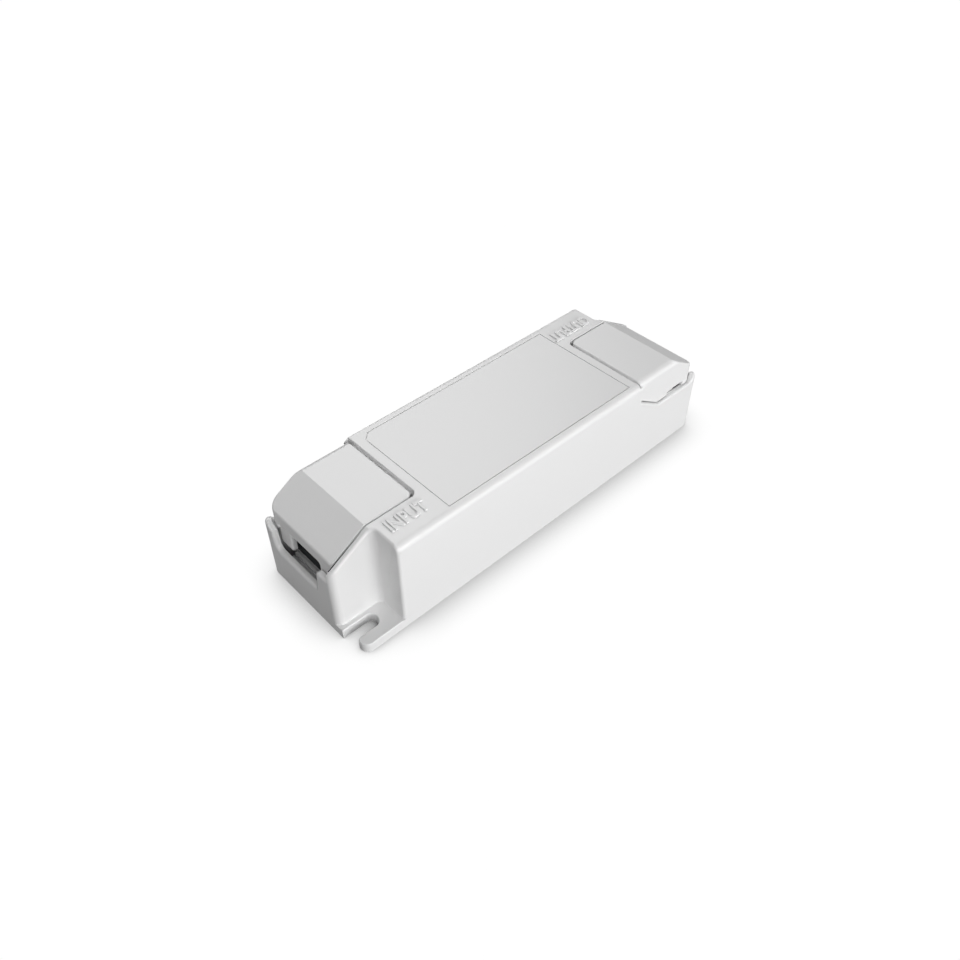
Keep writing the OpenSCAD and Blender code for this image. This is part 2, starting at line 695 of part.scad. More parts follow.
// A terminal cover: a folded shell with a soft outer edge, two legs, a snap tongue and two hooks
module cover_profile() {
    skirt_rise_z = skirt_z + rise_h;
    polygon([[cover_u0, skirt_z], [rise_u, skirt_z], [rise_u + rise_l, skirt_rise_z],
        [cover_u1, skirt_rise_z], [cover_u1, body_h], [fold_u, body_h], [cover_u0, slope_at(cover_u0)]]);
}
module cover_hollow_profile() {
    u0 = cover_u0 + cover_t;
    under = cover_t / cos(slope_a);
    polygon([[u0, leg_z], [cover_u1 + over, leg_z], [cover_u1 + over, body_h - cover_t],
        [fold_u + cover_t * tan(slope_a / 2), body_h - cover_t], [u0, slope_at(u0) - under]]);
}
module cover_shell() {
    difference() {
        intersection() {
            along_v(cover_v0, cover_v1) cover_profile();
            linear_extrude(body_h + over) soft_rect([cover_u0, cover_v0], [cover_u1, cover_v1],
                [cover_r / 2, cover_r, cover_r / 4, cover_end_r]);
        }
        intersection() {
            along_v(cover_v0, cover_v1) cover_hollow_profile();
            linear_extrude(body_h) soft_rect([cover_u0 + cover_t, cover_v0 + cover_t],
                [cover_u1 + over, cover_v1 - cover_t], [0, 0, 0, cover_end_r - cover_t]);
        }
        // Soft outer edge along the top, which the slope cuts off
        translate([0, cover_v1, body_h]) along_u(0, bay_l) rotate(180) corner_cut(cover_r);
        // Cable entry under the end lip, and the round prising notch under the outer side
        along_u(0, cover_u0 + cover_t + root)
            soft_rect([dip_v0, leg_z], [dip_v1, entry_h], [0, 0, entry_r, entry_r]);
        translate([0, cover_v1, skirt_z]) along_u(notch_u, notch_u + notch_l)
            mirror([1, 0]) corner_cut(notch_h);
    }
}
module terminal_cover() {
    near_leg_v = cover_v0 + cover_r / 2;
    lip_z = entry_h + over;
    barb_reach = body_w - wall_t + tongue_barb - tongue_v - tongue_t;
    cover_shell();
    // Near leg in line with the end lip, and far leg behind it with a round front
    translate([cover_u0, near_leg_v, leg_z]) cube([cover_t, dip_v0 - near_leg_v, lip_z - leg_z]);
    translate([cover_u0 + far_leg_back, far_leg_v, leg_z]) linear_extrude(lip_z - leg_z)
        soft_rect([0, 0], [cover_t, far_leg_w], [cover_t / 2, 0, 0, cover_t / 2]);
    // Snap tongue behind the notch
    translate([tongue_u - tongue_w / 2, tongue_v, tongue_z]) {
        cube([tongue_w, tongue_t, skirt_z + notch_h + over - tongue_z]);
        along_u(0, tongue_w) translate([tongue_t - root, 0])
            polygon([[0, 0], [root, 0], [root + barb_reach, barb_h], [0, barb_h]]);
    }
    // Hooks that reach through the bulkhead, under the roof
    for (v = hook_vs) translate([hook_u, v - hook_w / 2, hook_z]) {
        cube([hook_reach - hook_u, hook_w, tongue_t]);
        cube([tongue_t, hook_w, body_h - cover_t + root - hook_z]);
    }
}
module input_terminal_cover() {
    color(white) at_end(input_end) terminal_cover();
}
module output_terminal_cover() {
    color(white) at_end(output_end) terminal_cover();
}
module rating_label() {
    color("white") translate([0, 0, body_h - label_t - hole_gap / 2])
        linear_extrude(label_t) label_outline(0);
}

// A clamp bar with a raised middle, and its two screws
module cable_clamp() {
    half = [clamp_w / 2, clamp_l / 2];
    rise_v = clamp_span / 2 - head_r - clamp_rise;
    end_r = clamp_w / 2 - root;
    translate([clamp_u, dip_v, clamp_z]) difference() {
        union() {
            linear_extrude(clamp_t) soft_rect(-half, half, [end_r, end_r, end_r, end_r]);
            along_u(-half.x, half.x) polygon(rounded([[-rise_v, root, 0], [rise_v, root, 0],
                [rise_v - clamp_rise, clamp_t + clamp_rise, clamp_rise],
                [-rise_v + clamp_rise, clamp_t + clamp_rise, clamp_rise]]));
        }
        for (s = [-1, 1]) translate([0, s * clamp_span / 2, -over])
            cylinder(r = screw_r + hole_gap, h = clamp_t + 2 * over);
    }
}
module pan_screw(shank_r, shank_l, cap_r, cap_h) {
    driver_w = cap_r / 4;
    driver_l = 1.2 * cap_r;
    difference() {
        union() {
            translate([0, 0, -shank_l]) cylinder(r = shank_r, h = shank_l + root);
            rotate_extrude()
                polygon(rounded([[0, 0, 0], [cap_r, 0, 0], [cap_r, cap_h, cap_h / 2], [0, cap_h, 0]]));
        }
        for (turn = [0, 90]) rotate([0, 0, turn]) translate([-driver_l / 2, -driver_w / 2, cap_h / 2])
            cube([driver_l, driver_w, cap_h]);
    }
}
module clamp_screws() {
    for (v = clamp_vs) translate([clamp_u, v, head_z])
        pan_screw(screw_r, clamp_t + screw_l, head_r, head_h);
}
module input_cable_clamp() {
    color(white) at_end(input_end) cable_clamp();
}
module output_cable_clamp() {
    color(white) at_end(output_end) cable_clamp();
}
module input_clamp_screws() {
    color(tin) at_end(input_end) clamp_screws();
}
module output_clamp_screws() {
    color(tin) at_end(output_end) clamp_screws();
}

// The circuit board, with a tongue into each bay, drilled for every lead
module circuit_board() {
    x = body_l / 2 - recess_l - wall_t - board_gap;
    y = inner_w / 2 - board_gap;
    v0 = recess_w + wall_t + board_gap;
    color("darkolivegreen") translate([0, 0, board_z]) linear_extrude(board_t) difference() {
        union() {
            translate([-x, -y]) square([2 * x, 2 * y]);
            for (turn = [input_end, output_end]) rotate(turn) translate([-body_l / 2, -body_w / 2])
                translate([board_u, v0]) square([bay_l - board_u, body_w - wall_t - board_gap - v0]);
        }
        for (turn = [input_end, output_end]) rotate(turn) translate([-body_l / 2, -body_w / 2]) {
            for (v = post_vs) translate([post_u, v]) circle(pin_r + hole_gap);
            for (v = pole_vs, s = [-1, 1]) translate([cage_u + cage_l / 2 + s * cage_l / 4, v])
                circle(cage_pin_r + hole_gap);
        }
        for (p = drilled) translate(p) circle(lead_r + hole_gap);
        for (turn = [0, 180], s = [-1, 1])
            rotate(turn) translate([s * snap_x - snap_w / 2 - board_gap, y - snap_t])
                square([snap_w + 2 * board_gap, snap_t + over]);
    }
}

// A terminal block with its wire ports, and the metal cages and screws in it
module terminal_block() {
    top = board_top + block_h;
    difference() {
        translate([block_u, dip_v - block_w / 2, board_top]) cube([block_l, block_w, block_h]);
        // Sloped front edge over the ports
        along_v(dip_v - block_w, dip_v + block_w) polygon([[block_u - over, top - block_slope],
            [block_u, top - block_slope], [block_u + block_slope, top],
            [block_u + block_slope, top + over], [block_u - over, top + over]]);
        for (v = pole_vs) {
            translate([block_u - over, v - port_w / 2, board_top + port_z])
                cube([cage_u - block_u + 2 * over, port_w, port_h]);
            translate([cage_u - hole_gap, v - cage_w / 2 - hole_gap, board_top - over])
                cube([cage_l + 2 * hole_gap, cage_w + 2 * hole_gap, cage_h + hole_gap + over]);
            translate([cage_u + cage_l / 2, v, board_top + cage_h - over])
                cylinder(r = pole_head_r + hole_gap, h = block_h);
        }
    }
}
module terminal_cages() {
    for (v = pole_vs) translate([cage_u, v, board_top]) {
        difference() {
            translate([0, -cage_w / 2, 0]) cube([cage_l, cage_w, cage_h]);
            translate([-over, -port_w / 2, port_z]) cube([cage_l + 2 * over, port_w, port_h]);
            translate([cage_l / 2, 0, cage_h - 2 * cage_t - over])
                cylinder(r = pole_screw_r + hole_gap / 2, h = 2 * cage_t + 2 * over);
        }
        for (s = [-1, 1]) translate([cage_l / 2 + s * cage_l / 4, 0, -board_t - lead_out])
            cylinder(r = cage_pin_r, h = board_t + lead_out + root);
    }
}
module terminal_screws() {
    shank_l = pole_head_z - cage_h + 2 * cage_t;
    slot_t = pole_head_r / 4;
    for (v = pole_vs) translate([cage_u + cage_l / 2, v, board_top + pole_head_z]) difference() {
        union() {
            cylinder(r = pole_head_r, h = pole_head_h);
            translate([0, 0, -shank_l]) cylinder(r = pole_screw_r, h = shank_l + root);
        }
        translate([-slot_t / 2, -pole_head_r - over, pole_head_h / 2])
            cube([slot_t, 2 * (pole_head_r + over), pole_head_h]);
    }
}
module input_terminal_block() {
    color("darkgreen") at_end(input_end) terminal_block();
}
module output_terminal_block() {
    color("darkgreen") at_end(output_end) terminal_block();
}
module input_terminal_cages() {
    color(tin) at_end(input_end) terminal_cages();
}
module output_terminal_cages() {
    color(tin) at_end(output_end) terminal_cages();
}
module input_terminal_screws() {
    color(tin) at_end(input_end) terminal_screws();
}
module output_terminal_screws() {
    color(tin) at_end(output_end) terminal_screws();
}

// Parts on the board
module stand_at(at) {
    translate([at.x, at.y, board_top]) children();
}
module leads(points, height) {
    for (p = points) translate([p.x, p.y, board_z - lead_out])
        cylinder(r = lead_r, h = lead_out + board_t + height);
}
// A round can with a crimped neck at its foot and a sunk top
module round_can(r, h) {
    neck = 2.4;
    lip = 0.4;
    rotate_extrude() polygon([[0, 0], [r - lip, 0], [r, lip], [r, neck - lip], [r - lip, neck],
        [r, neck + lip], [r, h - lip], [r - lip, h], [r - 3 * lip, h], [r - 4 * lip, h - lip], [0, h - lip]]);
}
// A disc on edge with its axis along x
module disc(r, t) {
    soft = t / 3;
    translate([-t / 2, 0, 0]) rotate([0, 90, 0]) rotate_extrude() polygon(rounded([[0, 0, 0], [r, 0, soft],
        [r, t, soft], [0, t, 0]]));
}
disc_lift = 1;
module fuse() {
    top_r = 1;
    color("saddlebrown") {
        stand_at(fuse_at) rotate_extrude() polygon(rounded([[0, 0, 0], [fuse_d / 2, 0, 0],
            [fuse_d / 2, fuse_h, top_r], [0, fuse_h, 0]]));
        leads(fuse_leads, root);
    }
}
module varistor() {
    color("royalblue") {
        stand_at(varistor_at) translate([0, 0, varistor_d / 2 + disc_lift]) disc(varistor_d / 2, varistor_t);
        leads(varistor_leads, varistor_d / 2);
    }
}
choke_base_t = 2;
choke_window = [choke_w - 2 * choke_core_t, choke_h - 2 * choke_core_t];
module choke_base() {
    half = [choke_w / 2, choke_w / 2];
    r = 1;
    color(black) {
        stand_at(choke_at) linear_extrude(choke_base_t) soft_rect(-half, half, [r, r, r, r]);
        leads(choke_leads, root);
    }
}
module choke_core() {
    color(black) stand_at(choke_at) translate([0, 0, choke_base_t]) difference() {
        translate([-choke_w / 2, -choke_core_t / 2, 0]) cube([choke_w, choke_core_t, choke_h]);
        translate([-choke_window.x / 2, -choke_core_t, choke_core_t])
            cube([choke_window.x, 2 * choke_core_t, choke_window.y]);
    }
}
// One coil on each upright of the choke's core
module choke_windings() {
    leg_x = (choke_w - choke_core_t) / 2;
    coil_r = choke_core_t / 2 + choke_coil_t;
    hole = choke_core_t + hole_gap;
    coil_h = choke_window.y - 2 * hole_gap;
    color(copper) stand_at(choke_at) translate([0, 0, choke_base_t + choke_core_t + hole_gap])
        for (s = [-1, 1]) translate([s * leg_x, 0, 0]) difference() {
            cylinder(r = coil_r, h = coil_h);
            translate([-hole / 2, -hole / 2, -over]) cube([hole, hole, coil_h + 2 * over]);
        }
}
module x_capacitor() {
    half = [x_cap_l / 2, x_cap_w / 2];
    r = 0.8;
    color("goldenrod") {
        stand_at(x_cap_at) linear_extrude(x_cap_h) soft_rect(-half, half, [r, r, r, r]);
        leads(x_cap_leads, root);
    }
}
// A moulded chip body with a waist line between two tapers, long sides along x
module chip_body(l, w, h) {
    taper = h / 6;
    along_u(-l / 2, l / 2) polygon([[-w / 2 + taper, 0], [w / 2 - taper, 0],
        [w / 2, h / 2], [w / 2 - taper, h], [-w / 2 + taper, h], [-w / 2, h / 2]]);
}
// A chip on four legs that bend out from its waist and go down through the board
module four_leg_chip(at, l, w, h, points) {
    moulded_w = w - 4 * lead_r;
    knee_z = h / 2;
    stand_at(at) chip_body(l, moulded_w, h);
    leads(points, knee_z + lead_r);
    for (p = points) translate([p.x, at.y, board_top + knee_z]) rotate([p.y > at.y ? -90 : 90, 0, 0])
        translate([0, 0, moulded_w / 2 - root])
            cylinder(r = lead_r, h = abs(p.y - at.y) - moulded_w / 2 + root);
}
module bridge_rectifier() {
    color(black) four_leg_chip(bridge_at, bridge_l, bridge_w, bridge_h, bridge_leads);
}
opto_h = 3.4;
module optocoupler() {
    color(black) four_leg_chip(opto_at, opto_l, opto_w, opto_h, opto_leads);
}
module bulk_capacitor() {
    color(black) {
        stand_at(bulk_at) round_can(bulk_d / 2, bulk_h);
        leads(bulk_leads, root);
    }
}
// A surface chip with a row of bent legs on each side, soldered flat on the board
module controller_chip() {
    legs = 4;
    leg_pitch = 1.27;
    leg_t = 0.25;
    leg_reach = 1;
    foot = 0.7;
    chip_h = 1.5;
    knee = chip_w / 2 - foot;
    knee_z = chip_h / 2;
    moulded_w = chip_w - 2 * leg_reach;
    shoulder = moulded_w / 2 - leg_t;
    color(black) stand_at(chip_at) {
        translate([0, 0, leg_t / 2]) chip_body(chip_l, moulded_w, chip_h);
        for (i = [0 : legs - 1], s = [0, 180]) rotate([0, 0, s])
            translate([(i - (legs - 1) / 2) * leg_pitch - leg_t, 0, 0]) along_u(0, 2 * leg_t)
                polygon([[chip_w / 2, 0], [chip_w / 2, leg_t], [knee + leg_t, leg_t],
                    [knee + leg_t, knee_z + leg_t], [shoulder, knee_z + leg_t],
                    [shoulder, knee_z], [knee, knee_z], [knee, 0]]);
    }
}
// An aluminium plate on two solder pins, with the transistor screwed to its inner face
fixing_z = 14.4;
fixing_head_h = 1.4;
tab_t = 1.3;
tab_end = 2.6;
module heatsink() {
    half = [heatsink_l / 2, heatsink_h / 2];
    r = 1;
    color(tin) {
        difference() {
            stand_at(heatsink_at) translate([0, heatsink_t / 2, heatsink_h / 2]) rotate([90, 0, 0])
                linear_extrude(heatsink_t) soft_rect(-half, half, [0, 0, r, r]);
            stand_at(heatsink_at) translate([0, heatsink_t, fixing_z]) rotate([90, 0, 0])
                cylinder(r = fixing_r + hole_gap / 2, h = 2 * heatsink_t);
        }
        leads(heatsink_leads, root);
    }
}
module switch_transistor() {
    tab_w = 10;
    body_z0 = 2;
    body_z1 = 11;
    color(black) {
        difference() {
            translate([heatsink_at.x - tab_w / 2, transistor_y, board_top]) {
                translate([0, 0, body_z0]) cube([tab_w, transistor_t, body_z1 - body_z0]);
                translate([0, transistor_t - tab_t, body_z0])
                    cube([tab_w, tab_t, fixing_z + tab_end - body_z0]);
            }
            translate([heatsink_at.x, transistor_y + transistor_t + over, board_top + fixing_z])
                rotate([90, 0, 0]) cylinder(r = fixing_r + hole_gap, h = tab_t + 2 * over);
        }
        leads(transistor_leads, body_z0 + root);
    }
}
module heatsink_screw() {
    color(tin) translate([heatsink_at.x, transistor_y + transistor_t - tab_t, board_top + fixing_z])
        rotate([90, 0, 0]) pan_screw(fixing_r, tab_t + heatsink_t, 2 * fixing_r, fixing_head_h);
}

// The transformer: a core with two windows, a bobbin on its centre leg and a winding on the bobbin
trafo_rail_h = 3;
trafo_core_z = trafo_rail_h;
trafo_yoke = trafo_leg / 2;
trafo_window = [(trafo_l - trafo_leg) / 2 - trafo_yoke, trafo_h - 2 * trafo_yoke];
bobbin_t = 0.9;
flange_t = 1;
module trafo_frame() {
    stand_at(trafo_at) translate([0, 0, trafo_core_z]) children();
}
module transformer_core() {
    color(black) trafo_frame() difference() {
        translate([-trafo_l / 2, -trafo_core_t / 2, 0]) cube([trafo_l, trafo_core_t, trafo_h]);
        for (s = [-1, 1]) translate([s * (trafo_leg + trafo_window.x) / 2, 0, trafo_yoke])
            translate([-trafo_window.x / 2, -trafo_core_t, 0])
                cube([trafo_window.x, 2 * trafo_core_t, trafo_window.y]);
    }
}
// A plate or block round the centre leg, of a given reach beyond it along x and along y
module round_leg(reach_x, reach_y, h) {
    translate([-trafo_leg / 2 - reach_x, -trafo_core_t / 2 - reach_y, 0])
        cube([trafo_leg + 2 * reach_x, trafo_core_t + 2 * reach_y, h]);
}
module transformer_bobbin() {
    z0 = trafo_yoke + hole_gap;
    h = trafo_window.y - 2 * hole_gap;
    flange_x = trafo_window.x - hole_gap;
    flange_y = (trafo_w - trafo_core_t) / 2 - trafo_rail_t;
    rail_inset = 2;
    rail_l = trafo_l - 2 * rail_inset;
    color("ivory") {
        trafo_frame() difference() {
            union() {
                translate([0, 0, z0]) round_leg(bobbin_t, bobbin_t, h);
                translate([0, 0, z0]) round_leg(flange_x, flange_y + root, flange_t);
                translate([0, 0, z0 + h - flange_t]) round_leg(flange_x, flange_y, flange_t);
                for (s = [-1, 1]) translate([0, s * (trafo_w - trafo_rail_t) / 2, -trafo_core_z])
                    translate([-rail_l / 2, -trafo_rail_t / 2, 0])
                        cube([rail_l, trafo_rail_t, trafo_core_z + z0 + flange_t]);
            }
            round_leg(hole_gap, hole_gap, trafo_h);
        }
        leads(trafo_leads, root);
    }
}
module transformer_winding() {
    inner = bobbin_t + hole_gap;
    h = trafo_window.y - 2 * (2 * hole_gap + flange_t);
    reach = trafo_window.x - 3 * hole_gap;
    outer = [trafo_leg / 2 + reach, trafo_core_t / 2 + reach];
    color(copper) trafo_frame() translate([0, 0, trafo_yoke + 2 * hole_gap + flange_t]) difference() {
        linear_extrude(h) soft_rect(-outer, outer, [reach / 2, reach / 2, reach / 2, reach / 2]);
        translate([0, 0, -over]) round_leg(inner, inner, h + 2 * over);
    }
}
module y_capacitor() {
    color("steelblue") {
        stand_at(y_cap_at) translate([0, 0, y_cap_d / 2 + disc_lift])
            rotate([0, 0, 90]) disc(y_cap_d / 2, y_cap_t);
        leads(y_cap_leads, y_cap_d / 2);
    }
}
module output_capacitors() {
    color(black) {
        for (at = out_caps_at) stand_at(at) round_can(out_cap_d / 2, out_cap_h);
        leads(out_cap_leads, root);
    }
}
// A round body lying along y, with its leads bent down at both ends
module output_rectifier() {
    axis_z = diode_d / 2;
    end_r = 0.4;
    span = diode_leads[1].y - diode_leads[0].y;
    color(black) {
        stand_at(diode_at) translate([0, 0, axis_z]) rotate([90, 0, 0]) {
            translate([0, 0, -diode_l / 2]) rotate_extrude() polygon(rounded([[0, 0, 0],
                [diode_d / 2, 0, end_r], [diode_d / 2, diode_l, end_r], [0, diode_l, 0]]));
            translate([0, 0, -span / 2]) cylinder(r = lead_r, h = span);
        }
        leads(diode_leads, axis_z);
        for (p = diode_leads) translate([p.x, p.y, board_top + axis_z]) sphere(lead_r);
    }
}
// A drum core with its winding in the waist
drum_flange = 1.4;
drum_waist = out_choke_d / 4;
module output_choke_core() {
    r = out_choke_d / 2;
    upper = out_choke_h - drum_flange;
    color(black) {
        stand_at(out_choke_at) rotate_extrude() polygon([[0, 0], [r, 0], [r, drum_flange],
            [drum_waist, drum_flange], [drum_waist, upper], [r, upper], [r, out_choke_h], [0, out_choke_h]]);
        leads(out_choke_leads, root);
    }
}
module output_choke_winding() {
    h = out_choke_h - 2 * (drum_flange + hole_gap);
    color(copper) stand_at(out_choke_at) translate([0, 0, drum_flange + hole_gap]) difference() {
        cylinder(r = out_choke_d / 2 - 2 * hole_gap, h = h);
        translate([0, 0, -over]) cylinder(r = drum_waist + hole_gap, h = h + 2 * over);
    }
}
// A resistor stood on end, with its upper lead bent over and back down beside it
module load_resistor() {
    foot = resistor_leads[0];
    back = resistor_leads[1];
    bend_lift = 1;
    top_z = resistor_l + bend_lift;
    bulge = 0.3;
    r = resistor_d / 2;
    color("tan") {
        stand_at(foot) translate([0, 0, root]) rotate_extrude() polygon([[0, 0], [r, 0], [r, r],
            [r - bulge, r + bulge], [r - bulge, resistor_l - r - bulge], [r, resistor_l - r],
            [r, resistor_l], [0, resistor_l]]);
        leads([foot, back], top_z);
        translate([foot.x, foot.y, board_top + top_z]) rotate([-90, 0, 0])
            cylinder(r = lead_r, h = back.y - foot.y);
        for (p = resistor_leads) translate([p.x, p.y, board_top + top_z]) sphere(lead_r);
    }
}

housing();
base_plate();
input_terminal_cover();
output_terminal_cover();
rating_label();
input_cable_clamp();
output_cable_clamp();
input_clamp_screws();
output_clamp_screws();
circuit_board();
input_terminal_block();
output_terminal_block();
input_terminal_cages();
output_terminal_cages();
input_terminal_screws();
output_terminal_screws();
fuse();
varistor();
choke_base();
choke_core();
choke_windings();
x_capacitor();
bridge_rectifier();
bulk_capacitor();
controller_chip();
heatsink();
switch_transistor();
heatsink_screw();
optocoupler();
transformer_core();
transformer_bobbin();
transformer_winding();
y_capacitor();
output_capacitors();
output_rectifier();
output_choke_core();
output_choke_winding();
load_resistor();
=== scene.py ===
import math

import bmesh
import bpy
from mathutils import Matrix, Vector


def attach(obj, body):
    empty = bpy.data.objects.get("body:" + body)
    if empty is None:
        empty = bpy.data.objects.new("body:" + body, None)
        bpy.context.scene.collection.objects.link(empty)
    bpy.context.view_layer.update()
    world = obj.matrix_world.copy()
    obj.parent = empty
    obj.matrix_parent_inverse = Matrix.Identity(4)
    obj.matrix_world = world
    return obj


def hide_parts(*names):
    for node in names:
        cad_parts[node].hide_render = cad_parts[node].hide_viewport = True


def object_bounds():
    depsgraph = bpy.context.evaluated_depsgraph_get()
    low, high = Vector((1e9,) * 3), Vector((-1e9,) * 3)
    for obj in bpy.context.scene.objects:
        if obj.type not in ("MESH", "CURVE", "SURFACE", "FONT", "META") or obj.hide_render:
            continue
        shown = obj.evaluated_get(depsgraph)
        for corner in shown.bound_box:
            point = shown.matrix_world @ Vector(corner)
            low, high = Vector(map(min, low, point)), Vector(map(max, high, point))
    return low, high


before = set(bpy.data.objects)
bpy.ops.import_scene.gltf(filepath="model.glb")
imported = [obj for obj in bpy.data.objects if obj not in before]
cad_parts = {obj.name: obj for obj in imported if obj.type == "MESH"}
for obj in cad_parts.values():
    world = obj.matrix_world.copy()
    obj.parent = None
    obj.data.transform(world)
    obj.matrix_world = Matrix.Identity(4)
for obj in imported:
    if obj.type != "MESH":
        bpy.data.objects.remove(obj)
cad_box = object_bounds()
MM = 0.001


# Camera
# The driver is seen from above its input end and its near long side, with a lens that is a
# little wide, so that the far end looks clearly smaller. The frame is square.
CAMERA_AZIMUTH = math.radians(-43.01)
CAMERA_ELEVATION = math.radians(44.63)
CAMERA_AT = Vector((-130.62, -132.30, 187.27)) * MM
LENS_MM = 33.09
SENSOR_MM = 36.0
CLIP_START = 0.01

camera_data = bpy.data.cameras.new("camera")
camera_data.lens = LENS_MM
camera_data.sensor_width = SENSOR_MM
camera_data.clip_start = CLIP_START
camera = bpy.data.objects.new("camera", camera_data)
bpy.context.scene.collection.objects.link(camera)
camera_back = Vector((math.sin(CAMERA_AZIMUTH) * math.cos(CAMERA_ELEVATION),
                      -math.cos(CAMERA_AZIMUTH) * math.cos(CAMERA_ELEVATION),
                      math.sin(CAMERA_ELEVATION)))
camera.location = CAMERA_AT
camera.rotation_mode = "QUATERNION"
camera.rotation_quaternion = (-camera_back).to_track_quat("-Z", "Y")
bpy.context.scene.camera = camera


# Case plastic
# The case, the base and the covers are injection-moulded in the same white plastic. Its skin is
# satin, with a very fine spark-eroded grain and slow, faint changes of tone from the mould.
MOTTLE_SCALE = 45.0
GRAIN_SCALE = 3200.0
GRAIN_DEPTH = 0.02 * MM


def new_group(name, inputs, outputs):
    group = bpy.data.node_groups.new(name, "ShaderNodeTree")
    for label, value in inputs:
        socket = group.interface.new_socket(label, in_out="INPUT", socket_type="NodeSocketFloat")
        socket.default_value = value
    for label in outputs:
        group.interface.new_socket(label, in_out="OUTPUT", socket_type="NodeSocketFloat")
    return group, group.nodes.new("NodeGroupInput"), group.nodes.new("NodeGroupOutput")


def noise_node(nodes, links, source, scale_socket, detail):
    noise = nodes.new("ShaderNodeTexNoise")
    noise.inputs["Detail"].default_value = detail
    links.new(source, noise.inputs["Vector"])
    links.new(scale_socket, noise.inputs["Scale"])
    return noise


def make_moulded_skin():
    inputs = [("Mottle Scale", MOTTLE_SCALE), ("Grain Scale", GRAIN_SCALE)]
    group, given, result = new_group("moulded_skin", inputs, ["Mottle", "Grain"])
    place = group.nodes.new("ShaderNodeTexCoord")
    mottle = noise_node(group.nodes, group.links, place.outputs["Object"], given.outputs["Mottle Scale"], 3.0)
    grain = noise_node(group.nodes, group.links, place.outputs["Object"], given.outputs["Grain Scale"], 2.0)
    group.links.new(mottle.outputs["Fac"], result.inputs["Mottle"])
    group.links.new(grain.outputs["Fac"], result.inputs["Grain"])
    return group


moulded_skin = make_moulded_skin()


def new_material(name):
    material = bpy.data.materials.new(name)
    material.use_nodes = True
    shader = material.node_tree.nodes["Principled BSDF"]
    return material, material.node_tree.nodes, material.node_tree.links, shader


def add_group(nodes, group, **values):
    node = nodes.new("ShaderNodeGroup")
    node.node_tree = group
    for label, value in values.items():
        node.inputs[label.replace("_", " ")].default_value = value
    return node


def mix_colours(nodes, links, mask, low, high, target):
    mix = nodes.new("ShaderNodeMix")
    mix.data_type = "RGBA"
    mix.inputs["A"].default_value = (*low, 1.0)
    mix.inputs["B"].default_value = (*high, 1.0)
    links.new(mask, mix.inputs["Factor"])
    links.new(mix.outputs["Result"], target)
    return mix


def spread_value(nodes, links, mask, low, high, target, start=0.3, stop=0.7):
    spread = nodes.new("ShaderNodeMapRange")
    spread.inputs["From Min"].default_value = start
    spread.inputs["From Max"].default_value = stop
    spread.inputs["To Min"].default_value = low
    spread.inputs["To Max"].default_value = high
    links.new(mask, spread.inputs["Value"])
    links.new(spread.outputs["Result"], target)


def add_bump(nodes, links, height, strength, distance, shader):
    bump = nodes.new("ShaderNodeBump")
    bump.inputs["Strength"].default_value = strength
    bump.inputs["Distance"].default_value = distance
    links.new(height, bump.inputs["Height"])
    links.new(bump.outputs["Normal"], shader.inputs["Normal"])


def skin_material(name, colour, rough, metal=0.0, gloss=0.5, grain_scale=GRAIN_SCALE, grain=0.1, change=0.02):
    """A skin whose colour and roughness drift by a small share over its surface."""
    material, nodes, links, shader = new_material(name)
    skin = add_group(nodes, moulded_skin, Mottle_Scale=MOTTLE_SCALE, Grain_Scale=grain_scale)
    dull = [c * (1.0 - change) for c in colour]
    full = [min(1.0, c * (1.0 + change)) for c in colour]
    mix_colours(nodes, links, skin.outputs["Mottle"], dull, full, shader.inputs["Base Color"])
    spread_value(nodes, links, skin.outputs["Mottle"], rough * (1.0 - change), rough * (1.0 + change),
                 shader.inputs["Roughness"])
    add_bump(nodes, links, skin.outputs["Grain"], grain, GRAIN_DEPTH, shader)
    shader.inputs["Metallic"].default_value = metal
    shader.inputs["Specular IOR Level"].default_value = gloss
    return material


case_plastic = skin_material("case_plastic", (0.8, 0.8, 0.8), 0.42, gloss=1.0, grain=0.05, change=0.006)


# Housing
# One moulding makes the long walls, the roof, both terminal bays and both lugs. It is open below,
# and every outer edge is softly rounded, most of all the rims of the bays and the lugs.
HALF_L = cad_box[1].x
HALF_W = cad_box[1].y
CASE_H = cad_box[1].z
MERGE = 0.002 * MM
NEAR = 0.03 * MM
FLAT_ANGLE = math.radians(0.5)
SHARP_ANGLE = math.radians(24)
SMOOTH_ANGLE = math.radians(28)


def pick(piece):
    bpy.ops.object.select_all(action="DESELECT")
    piece.select_set(True)
    bpy.context.view_layer.objects.active = piece


def finish_piece(piece, node, material):
    piece.data.materials.clear()
    piece.data.materials.append(material)
    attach(piece, "root")
    if node:
        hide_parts(node)
    return piece


def copy_of(node, name):
    piece = bpy.data.objects.new(name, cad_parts[node].data.copy())
    bpy.context.scene.collection.objects.link(piece)
    pick(piece)
    bpy.ops.mesh.customdata_custom_splitnormals_clear()
    bpy.ops.object.mode_set(mode="EDIT")
    bpy.ops.mesh.select_all(action="SELECT")
    bpy.ops.mesh.remove_doubles(threshold=MERGE)
    bpy.ops.mesh.dissolve_limited(angle_limit=FLAT_ANGLE)
    bpy.ops.object.mode_set(mode="OBJECT")
    return piece


def end_place(point):
    """A point as u from its own end face, v from its own lug side, and its height."""
    side = 1.0 if point.x < 0 else -1.0
    return HALF_L - abs(point.x), HALF_W + side * point.y, point.z


